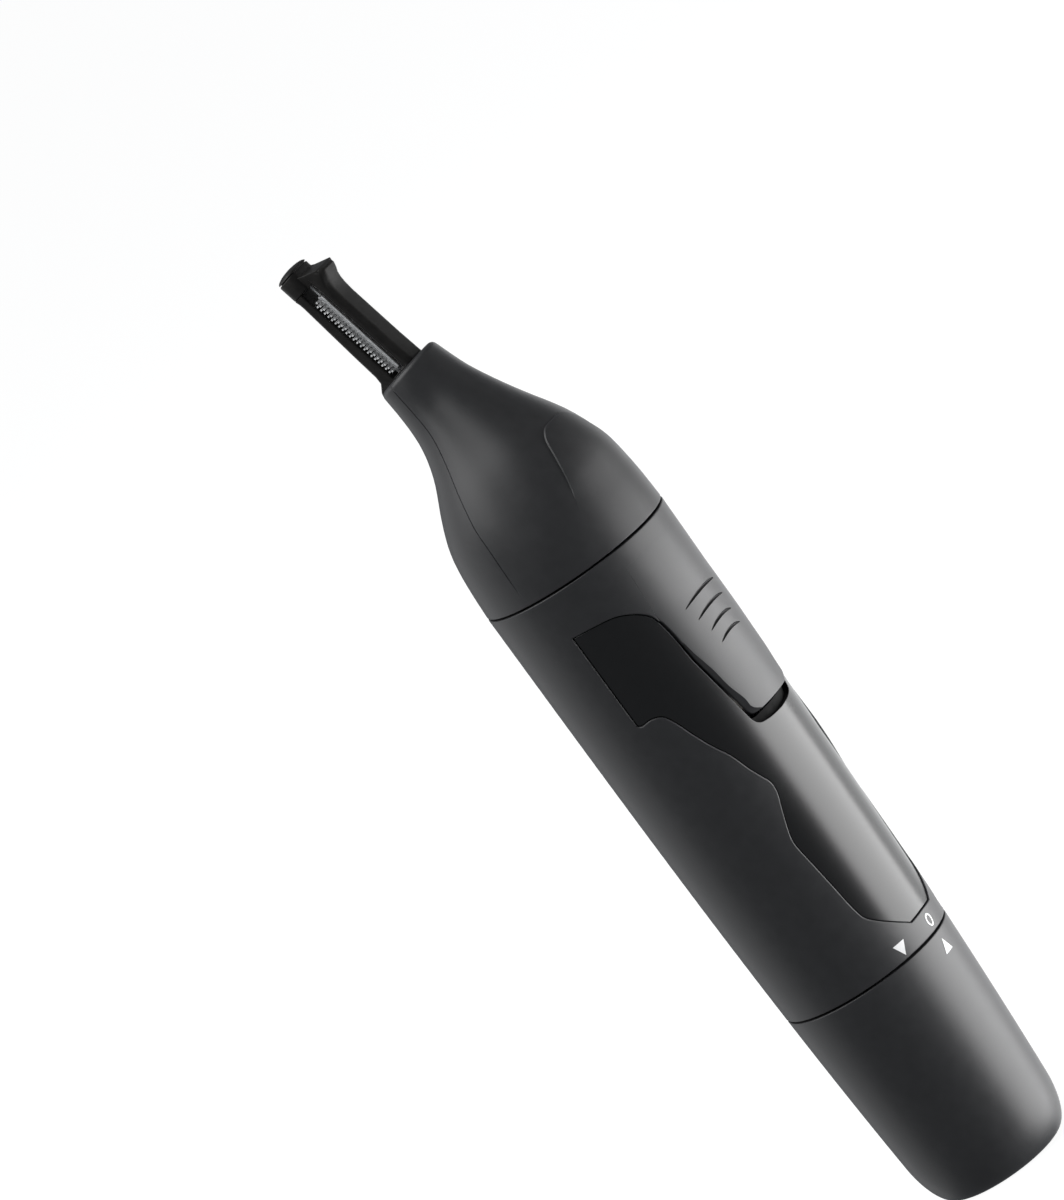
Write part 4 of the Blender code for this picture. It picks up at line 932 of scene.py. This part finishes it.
def build_tip(place):
    """The block on the back rail, with a groove under its dome, and the beak that closes the front rail."""
    block = prism("guard_tip_skin", rounded(mirror_x(BLOCK), TIP_CORNER), BLOCK_LOW, BLOCK_HIGH,
                  place=place, material=GUARD, bevel=0.15)
    neck = prism("neck", rounded(mirror_x(GROOVE), TIP_CORNER), BLOCK_HIGH - 0.1, DOME_LOW + 0.1,
                 place=place)
    base = rounded(mirror_x(DOME), TIP_CORNER)
    rings = []
    for turn in np.linspace(0, 80, 7):
        share = math.cos(math.radians(turn))
        up = DOME_LOW + DOME_RISE * math.sin(math.radians(turn))
        rings.append([(x * share, DOME_MIDDLE + (v - DOME_MIDDLE) * share, up) for x, v in base])
    combine(block, [neck, lofted("dome", rings, place=place)])
    own(block, "head", "guard_tip")
    side = Matrix.Rotation(math.radians(90), 4, "Y") @ Matrix.Rotation(math.radians(90), 4, "Z")
    beak = prism("guard_beak", rounded(BEAK, 0.12, 3), -BEAK_HALF, BEAK_HALF, place=place @ side,
                 bevel=0.06, material=GUARD)
    own(beak, "head")


def comb_outline(half, start, end, tang, tail=None):
    """A strip with teeth on both edges, a tang below and, where it is wanted, a narrow tail above."""
    side = []
    for i in range(int((end - start) / TOOTH_PITCH)):
        low = start + 0.2 + i * TOOTH_PITCH
        across = (half, half + TOOTH_LENGTH, half + TOOTH_LENGTH, half)
        side += [(x, low + along) for x, along in zip(across, TOOTH_SIDES)]
    right = [(TANG_SIDE, tang), (TANG_SIDE, start), (half, start), *side, (half, end)]
    if tail:
        right += [(TANG_SIDE - 0.2, end), (TANG_SIDE - 0.2, tail)]
    return mirror_x(right)


def build_blades(place):
    """The fixed comb with its ridges, and the moving blade behind it."""
    lying = place @ Matrix.Rotation(math.radians(90), 4, "X")
    outline = comb_outline(1.45, start=0.95, end=14.3, tang=0.85, tail=16.0)
    comb = prism("fixed_comb_skin", outline, -0.1, 0.15, place=lying, material=BLADE_STEEL_AND_SHEEN)
    ridges = []
    for x, high in RIDGES:
        left, right = x - RIDGE_HALF, x + RIDGE_HALF
        ridge = [(left, RIDGE_LOW), (right, RIDGE_LOW), (right, RIDGE_HIGH), (left, RIDGE_HIGH)]
        ridges.append(prism(f"ridge_{x}", ridge, 0.1, high, place=lying, bevel=0.04))
    combine(comb, ridges)
    own(comb, "head", "fixed_comb")
    outline = comb_outline(1.35, start=1.15, end=14.1, tang=-4.5)
    moving = prism("moving_blade_skin", outline, -0.55, -0.3, place=lying, material=BLADE_STEEL_AND_SHEEN)
    own(moving, "blade", "moving_blade")


# ---------------------------------------------------------------- stage
CAMERA_AT = (-790.212, -586.220, 264.295)
CAMERA_RIGHT = (0.409779, -0.709055, -0.573867)
CAMERA_UP = (0.461369, -0.381604, 0.800948)
FOCAL, SENSOR = 240.6, 36.0
FLOOR_HALF = 3.0  # metres
MIDDLE = (0.0, 0.0, 0.075)  # metres; every lamp is turned to it
KEY_BEARING = 86
FLAG_DISTANCE, FLAG_HALF = 0.06, 0.06  # metres, from the handle's axis and half its width
FLAG_HEIGHTS = (84.0, 300.0)  # its lower and upper edge
FLAG_DENSITY = 0.68


def build_camera():
    data = bpy.data.cameras.new("camera")
    data.lens = FOCAL
    data.sensor_width = SENSOR
    data.clip_start, data.clip_end = 0.05, 20.0
    camera = bpy.data.objects.new("camera", data)
    bpy.context.scene.collection.objects.link(camera)
    right, up = Vector(CAMERA_RIGHT), Vector(CAMERA_UP)
    turn = Matrix((right, up, right.cross(up))).transposed().to_4x4()
    camera.matrix_world = Matrix.Translation(Vector(CAMERA_AT) * MM) @ turn
    bpy.context.scene.camera = camera


def aim(name, at, size, power):
    """A rectangular lamp at a place in metres, turned to the middle of the trimmer."""
    data = bpy.data.lights.new(name, "AREA")
    data.shape = "RECTANGLE"
    data.size, data.size_y = size
    data.energy = power
    lamp = bpy.data.objects.new(name, data)
    bpy.context.scene.collection.objects.link(lamp)
    lamp.location = at
    lamp.rotation_euler = (Vector(MIDDLE) - Vector(at)).to_track_quat("-Z", "Y").to_euler()


def around(bearing, distance, height):
    """A place that far from the handle, bearing degrees to the right of the camera's side."""
    towards = math.atan2(CAMERA_AT[1], CAMERA_AT[0]) + math.radians(bearing)
    return (distance * math.cos(towards), distance * math.sin(towards), height)


def build_flag():
    """A sheet of grey film that the camera doesn't see. It takes most of the key lamp off the head."""
    x, y, _ = around(KEY_BEARING, FLAG_DISTANCE, 0)
    across = np.array([-y, x]) / FLAG_DISTANCE * FLAG_HALF
    ends = [np.array([x, y]) + side * across for side in (-1, 1)]
    corners = [(*(end / MM), height) for height in FLAG_HEIGHTS for end in ends]
    film, _, _, shader = new_material("film")
    shader.inputs["Base Color"].default_value = (0.02, 0.02, 0.02, 1)
    shader.inputs["Alpha"].default_value = FLAG_DENSITY
    flag = add_object("flag", corners, [(0, 1, 3, 2)], material=film)
    flag.visible_camera = False


def build_floor():
    """A white floor that lights and mirrors nothing, so that it looks the same everywhere."""
    mesh = bpy.data.meshes.new("floor")
    corners = [(x * FLOOR_HALF, y * FLOOR_HALF, 0) for x, y in ((-1, -1), (1, -1), (1, 1), (-1, 1))]
    mesh.from_pydata(corners, [], [(0, 1, 2, 3)])
    floor = bpy.data.objects.new("floor", mesh)
    bpy.context.scene.collection.objects.link(floor)
    made, _, _, shader = new_material("floor")
    shader.inputs["Base Color"].default_value = (0.15, 0.15, 0.15, 1)
    shader.inputs["Roughness"].default_value = 0.9
    shader.inputs["Emission Color"].default_value = (1, 1, 1, 1)
    shader.inputs["Emission Strength"].default_value = 0.93
    mesh.materials.append(made)
    floor.visible_glossy = False
    floor.visible_diffuse = False
    floor.visible_shadow = False


def build_lights():
    """A key and a side lamp on the right, a rim lamp on the left, two high ones, and a dim bluish room."""
    world = bpy.data.worlds.new("studio")
    bpy.context.scene.world = world
    world.use_nodes = True
    world.node_tree.nodes["Background"].inputs["Color"].default_value = (0.9, 0.95, 1.0, 1)
    world.node_tree.nodes["Background"].inputs["Strength"].default_value = 0.22
    aim("key", around(KEY_BEARING, 0.8, -0.15), (0.95, 0.8), 16.5)
    aim("side", around(142, 0.8, -0.1), (0.95, 0.8), 3.0)
    aim("rim", around(-120, 0.8, 0.0), (1.0, 1.1), 1.9)
    aim("crown", around(-75, 0.55, 0.8), (1.0, 1.0), 8.4)
    aim("top", (0.0, 0.1, 1.1), (0.8, 0.8), 1.5)
    bpy.context.scene.view_settings.view_transform = "Standard"


def paint_cad():
    for material, names in CAD_FINISH.items():
        for name in names:
            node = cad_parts[name]
            node.data.materials.clear()
            node.data.materials.append(material)


build_handle()
build_head()
build_bar()
paint_cad()
build_camera()
build_floor()
build_lights()
build_flag()
